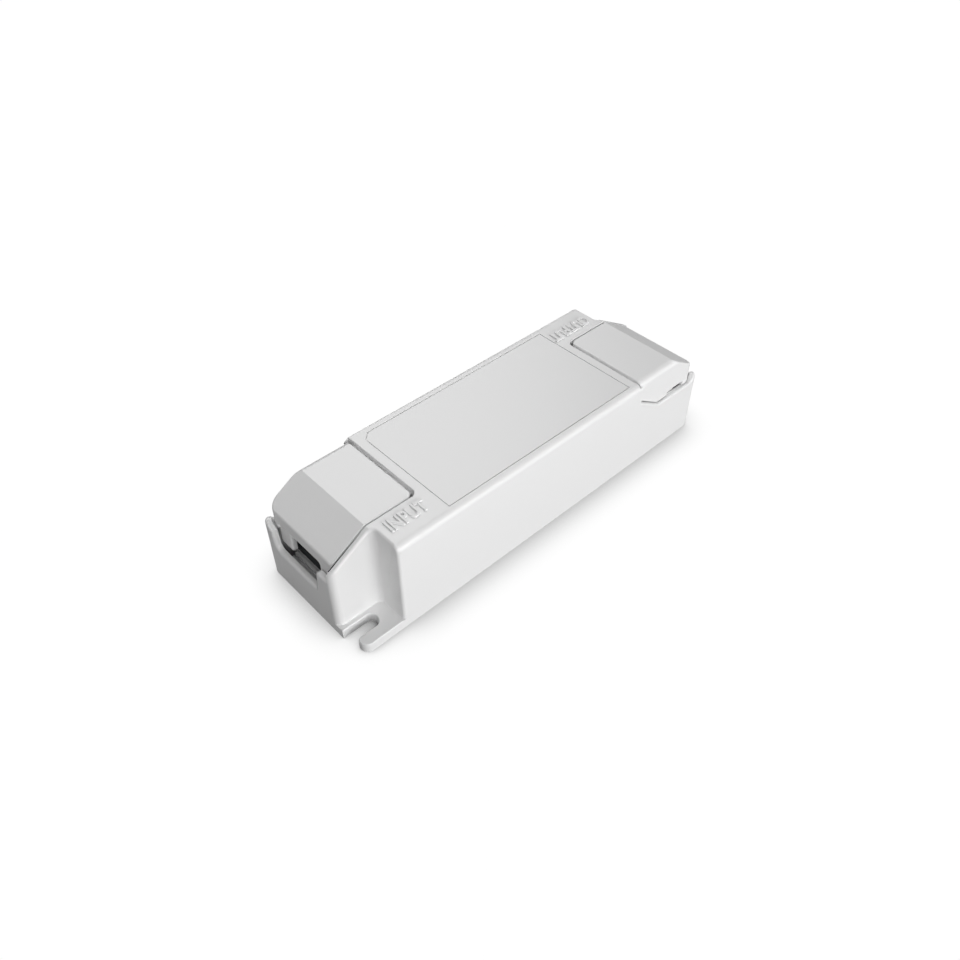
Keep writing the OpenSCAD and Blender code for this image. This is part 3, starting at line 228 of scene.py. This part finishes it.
def round_edges(piece, size, segments, wanted):
    """Bevels the sharp edges that the test accepts."""
    pick(piece)
    bpy.ops.object.mode_set(mode="EDIT")
    bpy.ops.mesh.select_mode(type="EDGE")
    bpy.ops.mesh.select_all(action="DESELECT")
    mesh = bmesh.from_edit_mesh(piece.data)
    for edge in mesh.edges:
        if edge.is_manifold and edge.calc_face_angle(0.0) > SHARP_ANGLE:
            edge.select = wanted(edge)
    mesh.select_flush_mode()
    bmesh.update_edit_mesh(piece.data)
    bpy.ops.mesh.bevel(offset=size, segments=segments, profile=0.5, affect="EDGES", clamp_overlap=False)
    bpy.ops.object.mode_set(mode="OBJECT")


def smooth(piece):
    pick(piece)
    bpy.ops.object.shade_smooth_by_angle(angle=SMOOTH_ANGLE)
    flat = piece.modifiers.new("flat_faces", "WEIGHTED_NORMAL")
    flat.keep_sharp = True
    bpy.ops.object.modifier_apply(modifier=flat.name)


WALL_T = 1.7 * MM
CORNER_R = 2.4 * MM
PARTITION_R = 2.0 * MM
RECESS_L = 13.7 * MM
RECESS_W = 9.5 * MM
RECESS_R = 1.7 * MM
STEP_R = 0.9 * MM
LUG_T = 3.0 * MM
DIP_H = 12.6 * MM
RIM_H = 19.2 * MM
BAY_L = 29.1 * MM
RIM_EDGE = 0.8 * MM
BAY_EDGE = 0.3 * MM
LUG_EDGE = 0.45 * MM
FOOT_R = 0.5 * MM
SLOPE_V = 31.4 * MM
SLOPE_TOP = 18.54 * MM
SLOPE_SHIFT = 1.5 * MM
SLOPE_STEEPER = 2.07 * MM
SLOPE_LOWER = 1.0 * MM
ROOF_R = 2.1 * MM
FAR_ROOF_R = 0.8 * MM
STEP_ROUND_U = 14.65 * MM
DIP_V = 15.0 * MM
DIP_LOWER = 1.0 * MM
HORN_V = 36.5 * MM
HORN_CUT_V = 37.5 * MM
HORN_U = 3.1 * MM
FRONT_U = 0.03 * MM
FRONT_V = 11.45 * MM
HORN_CUT_H = 17.5 * MM
LUG_EDGE_V = 9.2 * MM
LUG_EDGE_U = 12.9 * MM
FOOT_U = 0.9 * MM
FOOT_V = 1.5 * MM
SLOT_V = 8.0 * MM
TIP_U = 3.4 * MM
RIM_STEPS = 4
EDGE_STEPS = 3


def on_round(u, v, centre_u, centre_v, radius):
    return abs(math.hypot(u - centre_u, v - centre_v) - radius) < NEAR


def on_outside(point):
    """True on the outer walls of the case, the walls of the recess among them."""
    u, v, _ = end_place(point)
    width = 2 * HALF_W
    if u < CORNER_R and v > width - CORNER_R:
        return on_round(u, v, CORNER_R, width - CORNER_R, CORNER_R)
    if u < PARTITION_R and RECESS_W - NEAR < v < RECESS_W + PARTITION_R:
        return on_round(u, v, PARTITION_R, RECESS_W + PARTITION_R, PARTITION_R)
    if RECESS_L - RECESS_R < u < RECESS_L + NEAR and RECESS_W - RECESS_R < v < RECESS_W + NEAR:
        return on_round(u, v, RECESS_L - RECESS_R, RECESS_W - RECESS_R, RECESS_R)
    if RECESS_L - NEAR < u < RECESS_L + STEP_R and v < STEP_R:
        return on_round(u, v, RECESS_L + STEP_R, STEP_R, STEP_R)
    if u < NEAR or v > width - NEAR:
        return True
    if u < RECESS_L:
        return abs(v - RECESS_W) < NEAR
    return v < NEAR or abs(u - RECESS_L) < NEAR and v < RECESS_W


def in_horn(point):
    u, v, _ = end_place(point)
    return u < HORN_U and v > HORN_V


def on_front(point):
    """True on the first strips of the round front of a partition."""
    u, v, _ = end_place(point)
    return u < FRONT_U and v < FRONT_V


def rim_edge(edge):
    places = [p.co for p in edge.verts]
    on_rim = all(on_outside(p) and p.z > DIP_H - DIP_LOWER - NEAR for p in places)
    on_low_front = any(on_front(p) and p.z < RIM_H + NEAR for p in places)
    return edge.is_convex and on_rim and not on_low_front and not any(in_horn(p) for p in places)


def bay_edge(edge):
    """The roof's edge round a bay, and the inner edge of the sloped wall beside the recess."""
    places = [end_place(p.co) for p in edge.verts]
    in_bay = all(u < BAY_L + NEAR and v > RECESS_W + NEAR for u, v, _ in places)
    on_roof = all(z > CASE_H - NEAR for _, _, z in places)
    on_wall = all(abs(v - RECESS_W - WALL_T) < NEAR and z > RIM_H + RIM_EDGE for _, v, z in places)
    return edge.is_convex and in_bay and (on_roof or on_wall)


def lug_edge(edge):
    """A top edge of a lug, up to where the walls of the recess run into it."""
    places = [end_place(p.co) for p in edge.verts]
    on_top = all(abs(z - LUG_T) < NEAR for _, _, z in places)
    in_end_cusp = any(u < NEAR and v > LUG_EDGE_V + NEAR for u, v, _ in places)
    in_side_cusp = any(v < NEAR and u > LUG_EDGE_U + NEAR for u, v, _ in places)
    return edge.is_convex and on_top and not in_end_cusp and not in_side_cusp


def foot_edge(edge):
    """The inner edge between a lug and the walls of its recess, but for both of its thin ends."""
    places = [end_place(p.co) for p in edge.verts]
    on_foot = all(abs(z - LUG_T) < NEAR and u > FOOT_U and v > FOOT_V - NEAR for u, v, z in places)
    return not edge.is_convex and on_foot and all(on_outside(p.co) for p in edge.verts)


def split_lug_edge(mesh, start, stop, split):
    """Adds a point on a straight top edge of each lug, between the two ends of that edge."""
    share = math.dist(start, split) / math.dist(start, stop)
    for side in (-1.0, 1.0):
        ends = [Vector((side * (HALF_L - u), side * (HALF_W - v), LUG_T)) for u, v in (start, stop)]
        for edge in mesh.edges:
            first, second = edge.verts
            if (first.co - ends[1]).length < NEAR:
                first, second = second, first
            if (first.co - ends[0]).length < NEAR and (second.co - ends[1]).length < NEAR:
                bmesh.utils.edge_split(edge, first, share)
                break


def tighten_far_edge(place):
    """Moves a place on the round of the roof's far long edge onto a tighter round."""
    u, _, z = end_place(place)
    depth = HALF_W - place.y
    on_edge = depth < ROOF_R + NEAR and z > CASE_H - ROOF_R - NEAR
    if not on_edge or place.x < 0 and u < BAY_L - NEAR:
        return
    if u < STEP_ROUND_U:
        inside = max(0.0, FAR_ROOF_R - depth)
        place.z = CASE_H - FAR_ROOF_R + math.sqrt(FAR_ROOF_R ** 2 - inside ** 2)
    else:
        place.y = HALF_W - FAR_ROOF_R * depth / ROOF_R
        place.z = CASE_H - FAR_ROOF_R * (CASE_H - z) / ROOF_R


def shape_dip(place):
    """Deepens a cable dip, makes its far side steeper and cuts the rim's corner down for its horn."""
    u, v, z = end_place(place)
    if u > HORN_U or v < DIP_V or z < DIP_H - NEAR:
        return
    if v > HORN_CUT_V:
        place.z = min(z, HORN_CUT_H)
    elif u < WALL_T + NEAR:
        part = (z - DIP_H) / (SLOPE_TOP - DIP_H)
        side = 1.0 if place.x < 0 else -1.0
        place.z -= DIP_LOWER * max(0.0, 1.0 - part)
        if v > SLOPE_V:
            place.y += side * (SLOPE_SHIFT - SLOPE_STEEPER * part)
            place.z -= SLOPE_LOWER * part


def shape_housing(piece):
    """Shapes the roof's far edge and the cable dips, and splits the lugs' edges where their bevels end."""
    mesh = bmesh.new()
    mesh.from_mesh(piece.data)
    for point in mesh.verts:
        tighten_far_edge(point.co)
        shape_dip(point.co)
    split_lug_edge(mesh, (0.0, SLOT_V), (0.0, RECESS_W + PARTITION_R), (0.0, LUG_EDGE_V))
    split_lug_edge(mesh, (TIP_U, 0.0), (RECESS_L + STEP_R, 0.0), (LUG_EDGE_U, 0.0))
    split_lug_edge(mesh, (RECESS_L, STEP_R), (RECESS_L, RECESS_W - RECESS_R), (RECESS_L, FOOT_V))
    mesh.to_mesh(piece.data)
    mesh.free()


# Places along the outer edge of a horn and its heights there, in millimetres
HORN_RIM = ((36.11, 18.27), (36.44, 18.55), (36.8, 18.9), (37.2, 19.3), (37.6, 19.62))
HORN_TURN = (19.84, 19.96, 20.0, 20.0, 19.94, 19.8, 19.6, 19.36)
HORN_SIDE = ((2.6, 19.14), (2.8, 18.92), (3.0, 18.7), (3.2, 18.49), (3.5, 18.32), (3.8, 18.23), (4.1, 18.2),
             (4.4, 18.2))
HORN_FOOT = 15.0 * MM
HORN_SKIN = 0.004 * MM
HORN_INNER_R = 0.2 * MM
ROUND_STEPS = 5


def horn_path():
    """The outer edge of the rim round the corner: its place, the way out from the wall, and its height."""
    path = [((0.0, v * MM), (-1.0, 0.0), h * MM) for v, h in HORN_RIM]
    for step, h in enumerate(HORN_TURN, start=1):
        turn = math.pi / 2 * step / len(HORN_TURN)
        way = (-math.cos(turn), math.sin(turn))
        middle = (CORNER_R, 2 * HALF_W - CORNER_R)
        path.append(((middle[0] + way[0] * CORNER_R, middle[1] + way[1] * CORNER_R), way, h * MM))
    return path + [((u * MM, 2 * HALF_W), (0.0, 1.0), h * MM) for u, h in HORN_SIDE]


def wall_section(height):
    """The rim's section as steps in from the outer face and heights, with both top edges rounded."""
    turns = [math.pi / 2 * step / ROUND_STEPS for step in range(ROUND_STEPS + 1)]
    outer = [(RIM_EDGE * (1 - math.cos(a)), height - RIM_EDGE * (1 - math.sin(a))) for a in turns]
    inner = [(WALL_T - HORN_INNER_R * (1 - math.sin(a)), height - HORN_INNER_R * (1 - math.cos(a)))
             for a in turns]
    return [(-HORN_SKIN, HORN_FOOT), *outer, *inner, (WALL_T + HORN_SKIN, HORN_FOOT)]


def add_horn(side):
    path = horn_path()
    steps = len(path) - 1
    rounds = len(wall_section(RIM_H)) - 1
    bpy.ops.object.select_all(action="DESELECT")
    bpy.ops.mesh.primitive_grid_add(x_subdivisions=steps, y_subdivisions=rounds, size=1.0)
    horn = bpy.context.object
    for point in horn.data.vertices:
        (u, v), way, height = path[round((point.co.x + 0.5) * steps)]
        inward, rise = wall_section(height + HORN_SKIN)[round((point.co.y + 0.5) * rounds)]
        inward -= HORN_SKIN if inward < WALL_T / 2 else -HORN_SKIN
        u -= way[0] * inward
        v -= way[1] * inward
        point.co = (-side * (HALF_L - u), -side * (HALF_W - v), rise)
    bpy.ops.object.mode_set(mode="EDIT")
    bpy.ops.mesh.select_all(action="SELECT")
    bpy.ops.mesh.normals_make_consistent(inside=False)
    bpy.ops.object.mode_set(mode="OBJECT")
    return horn


housing = copy_of("housing", "case_shell")
shape_housing(housing)
round_edges(housing, RIM_EDGE, RIM_STEPS, rim_edge)
round_edges(housing, BAY_EDGE, EDGE_STEPS, bay_edge)
round_edges(housing, LUG_EDGE, EDGE_STEPS, lug_edge)
round_edges(housing, FOOT_R, EDGE_STEPS, foot_edge)
horns = [add_horn(side) for side in (1.0, -1.0)]
pick(housing)
for horn in horns:
    horn.select_set(True)
bpy.ops.object.join()
smooth(housing)
finish_piece(housing, "housing", case_plastic)


# Terminal covers
# A clip-on moulding closes each bay. It lies flush with the roof, then slopes down to a lip over
# the cable entry, and a small notch under its outer side lets a screwdriver prise it off.
COVER_EDGE = 0.5 * MM
LIP_H = 21.0 * MM
UPWARD = 0.8


def cover_edge(edge):
    """An edge between the top or the slope of a cover and one of its sides."""
    upward = [face.normal.z > UPWARD for face in edge.link_faces]
    return edge.is_convex and any(upward) and not all(upward) and all(p.co.z > LIP_H for p in edge.verts)


for end in ("input", "output"):
    cover = copy_of(end + "_terminal_cover", end + "_cover")
    round_edges(cover, COVER_EDGE, EDGE_STEPS, cover_edge)
    smooth(cover)
    finish_piece(cover, end + "_terminal_cover", case_plastic)


# Label
# A satin white film is stuck in a shallow field of the roof, with one corner cut to mark the
# input end. It carries no print.
def dress(node, materials, second=None):
    """Gives a carried piece its materials; the test picks the faces that take the second one."""
    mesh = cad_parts[node].data
    mesh.materials.clear()
    for material in materials:
        mesh.materials.append(material)
    for face in mesh.polygons:
        face.material_index = 1 if second and second(face) else 0


label_film = skin_material("label_film", (0.78, 0.78, 0.78), 0.4, gloss=1.0, grain=0.03, change=0.006)
dress("rating_label", [label_film])


# Raised words
# The mould leaves one raised word beside each bay, INPUT and OUTPUT, each read from its own end.
# The letters stand a little above the roof, with soft edges, in the plastic of the case.
CAP_H = 4.2 * MM
WORD_RISE = 0.5 * MM
WORD_SINK = 0.1 * MM
WORD_EDGE = 0.03
WORD_STEPS = 3
WORD_U = {"INPUT": 22.2 * MM, "OUTPUT": 23.6 * MM}
WORD_L = {"INPUT": 12.0 * MM, "OUTPUT": 15.5 * MM}
WORD_V = 6.9 * MM

for word, turn in (("INPUT", 0.0), ("OUTPUT", math.pi)):
    bpy.ops.object.select_all(action="DESELECT")
    bpy.ops.object.text_add()
    letters = bpy.context.object
    letters.name = word.lower() + "_word"
    letters.data.body = word
    letters.data.align_x = "CENTER"
    letters.data.align_y = "CENTER"
    letters.data.extrude = WORD_EDGE
    letters.data.bevel_depth = WORD_EDGE
    letters.data.bevel_resolution = WORD_STEPS
    bpy.ops.object.convert(target="MESH")
    letters.dimensions = (WORD_L[word], CAP_H, WORD_RISE + WORD_SINK)
    bpy.ops.object.transform_apply(location=True, rotation=True, scale=True)
    bpy.ops.object.origin_set(type="ORIGIN_GEOMETRY", center="BOUNDS")
    side = 1.0 if turn == 0.0 else -1.0
    letters.location = (-side * (HALF_L - WORD_U[word]), -side * (HALF_W - WORD_V),
                        CASE_H + (WORD_RISE - WORD_SINK) / 2)
    letters.rotation_euler = (0.0, 0.0, turn)
    bpy.ops.object.transform_apply(location=True, rotation=True, scale=True)
    bpy.ops.object.shade_smooth_by_angle(angle=SMOOTH_ANGLE)
    finish_piece(letters, None, case_plastic)


# Base plate
# The floor of the case snaps in from below and carries the board on posts. It is moulded in the
# same white plastic as the case.
dress("base_plate", [case_plastic])


# Cable clamps
# A dark grey moulded bar with ribs holds each cable down on its saddle. Two zinc-plated screws
# with a cross recess go through it into the case.
block_plastic = skin_material("block_plastic", (0.05, 0.053, 0.056), 0.6, gloss=0.15, change=0.05)
zinc_steel = skin_material("zinc_steel", (0.62, 0.63, 0.64), 0.32, metal=1.0, grain_scale=900.0, change=0.06)

for end in ("input", "output"):
    dress(end + "_cable_clamp", [block_plastic])
    dress(end + "_clamp_screws", [zinc_steel])


# Circuit board
# A sheet of glass-fibre laminate, routed to fit round the bays. Both faces have a green solder
# mask, and the sawn edges show the pale laminate.
solder_mask = skin_material("solder_mask", (0.05, 0.2, 0.07), 0.35, grain_scale=700.0, change=0.08)
laminate_edge = skin_material("laminate_edge", (0.5, 0.48, 0.25), 0.7, grain_scale=1500.0, change=0.1)
BOARD_TOP = max(p.co.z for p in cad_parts["circuit_board"].data.vertices)
SIDEWAYS = 0.5

dress("circuit_board", [solder_mask, laminate_edge], lambda face: abs(face.normal.z) < SIDEWAYS)


# Terminal blocks
# A dark grey moulded block at each end takes the wires. Each pole is a tinned brass cage with a
# zinc-plated screw that is turned from above.
tinned_brass = skin_material("tinned_brass", (0.66, 0.63, 0.54), 0.38, metal=1.0, grain_scale=900.0,
                             change=0.05)

for end in ("input", "output"):
    dress(end + "_terminal_block", [block_plastic])
    dress(end + "_terminal_cages", [tinned_brass])
    dress(end + "_terminal_screws", [zinc_steel])


# Fuse and disc parts
# The fuse is a brown moulded can. The varistor and the safety capacitor are ceramic discs dipped
# in blue epoxy, and each stands on two tinned wires.
LEAD_LIFT = 0.5 * MM
fuse_case = skin_material("fuse_case", (0.16, 0.07, 0.035), 0.45, change=0.06)
blue_epoxy = skin_material("blue_epoxy", (0.03, 0.1, 0.38), 0.25, grain_scale=600.0, grain=0.25, change=0.08)
tinned_wire = skin_material("tinned_wire", (0.7, 0.69, 0.66), 0.3, metal=1.0, grain_scale=900.0, change=0.04)


def under_board_top(face):
    return face.center.z < BOARD_TOP + LEAD_LIFT / 2


def on_disc_lead(face):
    return face.center.z < BOARD_TOP + LEAD_LIFT


dress("fuse", [fuse_case, tinned_wire], under_board_top)
dress("varistor", [blue_epoxy, tinned_wire], on_disc_lead)
dress("y_capacitor", [blue_epoxy, tinned_wire], on_disc_lead)


# Film capacitor
# A yellow moulded box, filled with resin from below, stands on two tinned wires.
film_case = skin_material("film_capacitor_case", (0.6, 0.34, 0.03), 0.4, change=0.05)

dress("x_capacitor", [film_case, tinned_wire], under_board_top)


# Chokes
# The input choke has two coils of enamelled wire on a square ferrite core, on a black base. The
# output choke is a ferrite drum with one coil in its waist. The turns of wire show as fine rings, with
# painted shade in the grooves between them.
RING_SCALE = 900.0
RING_DEPTH = 0.12 * MM
RING_BUMP = 0.8
RING_WAVER = 0.3
GROOVE_ROUGHER = 0.1
ferrite = skin_material("ferrite", (0.03, 0.03, 0.033), 0.65, grain_scale=1200.0, grain=0.3, change=0.1)
bobbin_plastic = skin_material("bobbin_plastic", (0.018, 0.018, 0.018), 0.5, change=0.1)


def make_wire_rings():
    group, given, result = new_group("wire_rings", [("Ring Scale", RING_SCALE)], ["Ring"])
    place = group.nodes.new("ShaderNodeTexCoord")
    rings = group.nodes.new("ShaderNodeTexWave")
    rings.bands_direction = "Z"
    rings.inputs["Distortion"].default_value = RING_WAVER
    group.links.new(place.outputs["Object"], rings.inputs["Vector"])
    group.links.new(given.outputs["Ring Scale"], rings.inputs["Scale"])
    group.links.new(rings.outputs["Fac"], result.inputs["Ring"])
    return group


def wound_wire(name, shaded_groove, crown, rough):
    material, nodes, links, shader = new_material(name)
    wire = add_group(nodes, make_wire_rings(), Ring_Scale=RING_SCALE)
    # Painted shade: the grooves between the turns take a darker colour than the crowns of the wire.
    mix_colours(nodes, links, wire.outputs["Ring"], shaded_groove, crown, shader.inputs["Base Color"])
    spread_value(nodes, links, wire.outputs["Ring"], rough + GROOVE_ROUGHER, rough,
                 shader.inputs["Roughness"])
    add_bump(nodes, links, wire.outputs["Ring"], RING_BUMP, RING_DEPTH, shader)
    shader.inputs["Metallic"].default_value = 1.0
    return material


enamelled_copper = wound_wire("enamelled_copper", (0.2, 0.06, 0.02), (0.62, 0.25, 0.1), 0.25)

dress("choke_core", [ferrite])
dress("choke_windings", [enamelled_copper])
dress("choke_base", [bobbin_plastic, tinned_wire], under_board_top)
dress("output_choke_core", [ferrite, tinned_wire], under_board_top)
dress("output_choke_winding", [enamelled_copper])


# Electrolytic capacitors
# Aluminium cans in a shrunk black sleeve, which turns over the rim and leaves the bare top in
# view. Each stands on two tinned wires.
CAN_TOP_DROP = 0.2 * MM
CAN_TOP_DEPTH = 0.7 * MM
capacitor_sleeve = skin_material("capacitor_sleeve", (0.014, 0.014, 0.02), 0.28, grain_scale=500.0,
                                 change=0.08)
plain_aluminium = skin_material("plain_aluminium", (0.72, 0.73, 0.74), 0.35, metal=1.0, grain_scale=700.0,
                                change=0.05)

for node in ("bulk_capacitor", "output_capacitors"):
    dress(node, [capacitor_sleeve, tinned_wire], under_board_top)
    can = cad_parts[node].data
    can.materials.append(plain_aluminium)
    can_top = max(p.co.z for p in can.vertices)
    for face in can.polygons:
        if face.normal.z > UPWARD and CAN_TOP_DROP < can_top - face.center.z < CAN_TOP_DEPTH:
            face.material_index = 2


# Black packages
# The rectifiers, the coupler, the controller and the switch are chips in black moulding compound.
# Their legs are tinned, and the switch has a bare metal tab screwed to the heatsink.
CHIP_WAIST = 0.79
SMALL_CHIP_WAIST = 0.68
DIODE_WAIST = 0.75
TAB_H = 11.0 * MM
SWITCH_LIFT = 1.8 * MM
chip_epoxy = skin_material("chip_epoxy", (0.016, 0.016, 0.017), 0.55, grain_scale=1500.0, grain=0.2,
                           change=0.1)


def outside_waist(node, waist):
    """A test for the faces that lie beyond a share of the package's half width."""
    low, high = (f(p.co.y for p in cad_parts[node].data.vertices) for f in (min, max))
    middle = (low + high) / 2
    reach = waist * (high - low) / 2
    return lambda face: abs(face.center.y - middle) > reach or face.center.z < BOARD_TOP


for node, waist in (("bridge_rectifier", CHIP_WAIST), ("optocoupler", CHIP_WAIST),
                    ("controller_chip", SMALL_CHIP_WAIST), ("output_rectifier", DIODE_WAIST)):
    dress(node, [chip_epoxy, tinned_wire], outside_waist(node, waist))
dress("switch_transistor", [chip_epoxy, tinned_wire],
      lambda face: not BOARD_TOP + SWITCH_LIFT < face.center.z < BOARD_TOP + TAB_H + NEAR)


# Heatsink
# A plain plate of aluminium stands on two soldered pins beside the switch, which one zinc-plated
# screw holds to it.
dress("heatsink", [plain_aluminium, tinned_wire], under_board_top)
dress("heatsink_screw", [zinc_steel])


# Transformer
# A ferrite core closes round a black bobbin with soldered pins. The windings are covered by
# several turns of yellow polyester tape.
winding_tape = skin_material("winding_tape", (0.62, 0.4, 0.03), 0.25, grain_scale=400.0, change=0.06)

dress("transformer_core", [ferrite])
dress("transformer_bobbin", [bobbin_plastic, tinned_wire], under_board_top)
dress("transformer_winding", [winding_tape])


# Load resistor
# A small film resistor stands on end in tan lacquer, with one tinned wire bent over and back down.
RESISTOR_L = 6.3 * MM
RESISTOR_D = 2.4 * MM
resistor_lacquer = skin_material("resistor_lacquer", (0.5, 0.33, 0.16), 0.35, change=0.06)
resistor_low = min(p.co.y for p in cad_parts["load_resistor"].data.vertices)


def on_resistor_wire(face):
    beside = face.center.y > resistor_low + RESISTOR_D + NEAR
    return beside or not BOARD_TOP < face.center.z < BOARD_TOP + RESISTOR_L + LEAD_LIFT


dress("load_resistor", [resistor_lacquer, tinned_wire], on_resistor_wire)


# Floor and light
# A plain white floor, and soft light from large panels, most of it from the near long side. The
# floor is evenly white to the camera, but for a soft painted shadow close round the case.
FLOOR_SIZE = 6.0
FLOOR_ROUGH = 0.9
FLOOR_BOUNCE = 0.36
SHADOW_REACH = 12.0 * MM
SHADOW_CURVE = 1.7
SHADOW_DEPTH = 1.45
FLOOR_LIGHT = 1.01
WORLD_LIGHT = 0.02
PANEL_DISTANCE = 0.9


def chain_math(nodes, links, operation, *values):
    """A math node that takes numbers or the outputs of other nodes."""
    node = nodes.new("ShaderNodeMath")
    node.operation = operation
    for socket, value in zip(node.inputs, values):
        if isinstance(value, float):
            socket.default_value = value
        else:
            links.new(value, socket)
    return node.outputs["Value"]


bpy.ops.object.select_all(action="DESELECT")
bpy.ops.mesh.primitive_plane_add(size=FLOOR_SIZE)
floor = bpy.context.object
floor.name = "floor"
floor_material, floor_nodes, floor_links, floor_shader = new_material("floor_white")
floor_shader.inputs["Base Color"].default_value = (FLOOR_BOUNCE, FLOOR_BOUNCE, FLOOR_BOUNCE, 1.0)
floor_shader.inputs["Roughness"].default_value = FLOOR_ROUGH
# Painted shadow: the floor's glow is darkened by ambient occlusion close round the case.
floor_shade = floor_nodes.new("ShaderNodeAmbientOcclusion")
floor_shade.inputs["Distance"].default_value = SHADOW_REACH
floor_seen = floor_nodes.new("ShaderNodeEmission")
floor_dark = chain_math(floor_nodes, floor_links, "SUBTRACT", 1.0, floor_shade.outputs["AO"])
floor_curve = chain_math(floor_nodes, floor_links, "POWER", floor_dark, SHADOW_CURVE)
floor_light = chain_math(floor_nodes, floor_links, "MULTIPLY_ADD", floor_curve, -SHADOW_DEPTH, FLOOR_LIGHT)
floor_links.new(floor_light, floor_seen.inputs["Strength"])
floor_path = floor_nodes.new("ShaderNodeLightPath")
floor_choice = floor_nodes.new("ShaderNodeMixShader")
floor_links.new(floor_path.outputs["Is Camera Ray"], floor_choice.inputs["Fac"])
floor_links.new(floor_shader.outputs["BSDF"], floor_choice.inputs[1])
floor_links.new(floor_seen.outputs["Emission"], floor_choice.inputs[2])
floor_links.new(floor_choice.outputs["Shader"], floor_nodes["Material Output"].inputs["Surface"])
floor.data.materials.append(floor_material)

world = bpy.data.worlds.new("studio")
world.use_nodes = True
world.node_tree.nodes["Background"].inputs["Color"].default_value = (1.0, 1.0, 1.0, 1.0)
world.node_tree.nodes["Background"].inputs["Strength"].default_value = WORLD_LIGHT
bpy.context.scene.world = world
bpy.context.scene.view_settings.view_transform = "Standard"


def add_panel(name, direction, size, power):
    light = bpy.data.lights.new(name, "AREA")
    light.size = size
    light.energy = power
    panel = bpy.data.objects.new(name, light)
    panel.location = Vector(direction).normalized() * PANEL_DISTANCE
    panel.rotation_mode = "QUATERNION"
    panel.rotation_quaternion = Vector(direction).to_track_quat("Z", "Y")
    bpy.context.scene.collection.objects.link(panel)
    return panel


add_panel("front_panel", (0.0, -1.0, 0.18), 0.6, 7.2)
add_panel("right_panel", (0.7, -0.7, 0.15), 0.5, 2.3)
add_panel("back_panel", (0.32, 0.57, 0.72), 0.62, 3.9)
add_panel("left_panel", (-0.58, -0.58, 0.57), 0.5, 2.0)
add_panel("top_panel", (-0.25, -0.43, 0.87), 0.5, 0.3)
add_panel("far_panel", (-0.4, 0.7, 0.57), 0.5, 1.1)
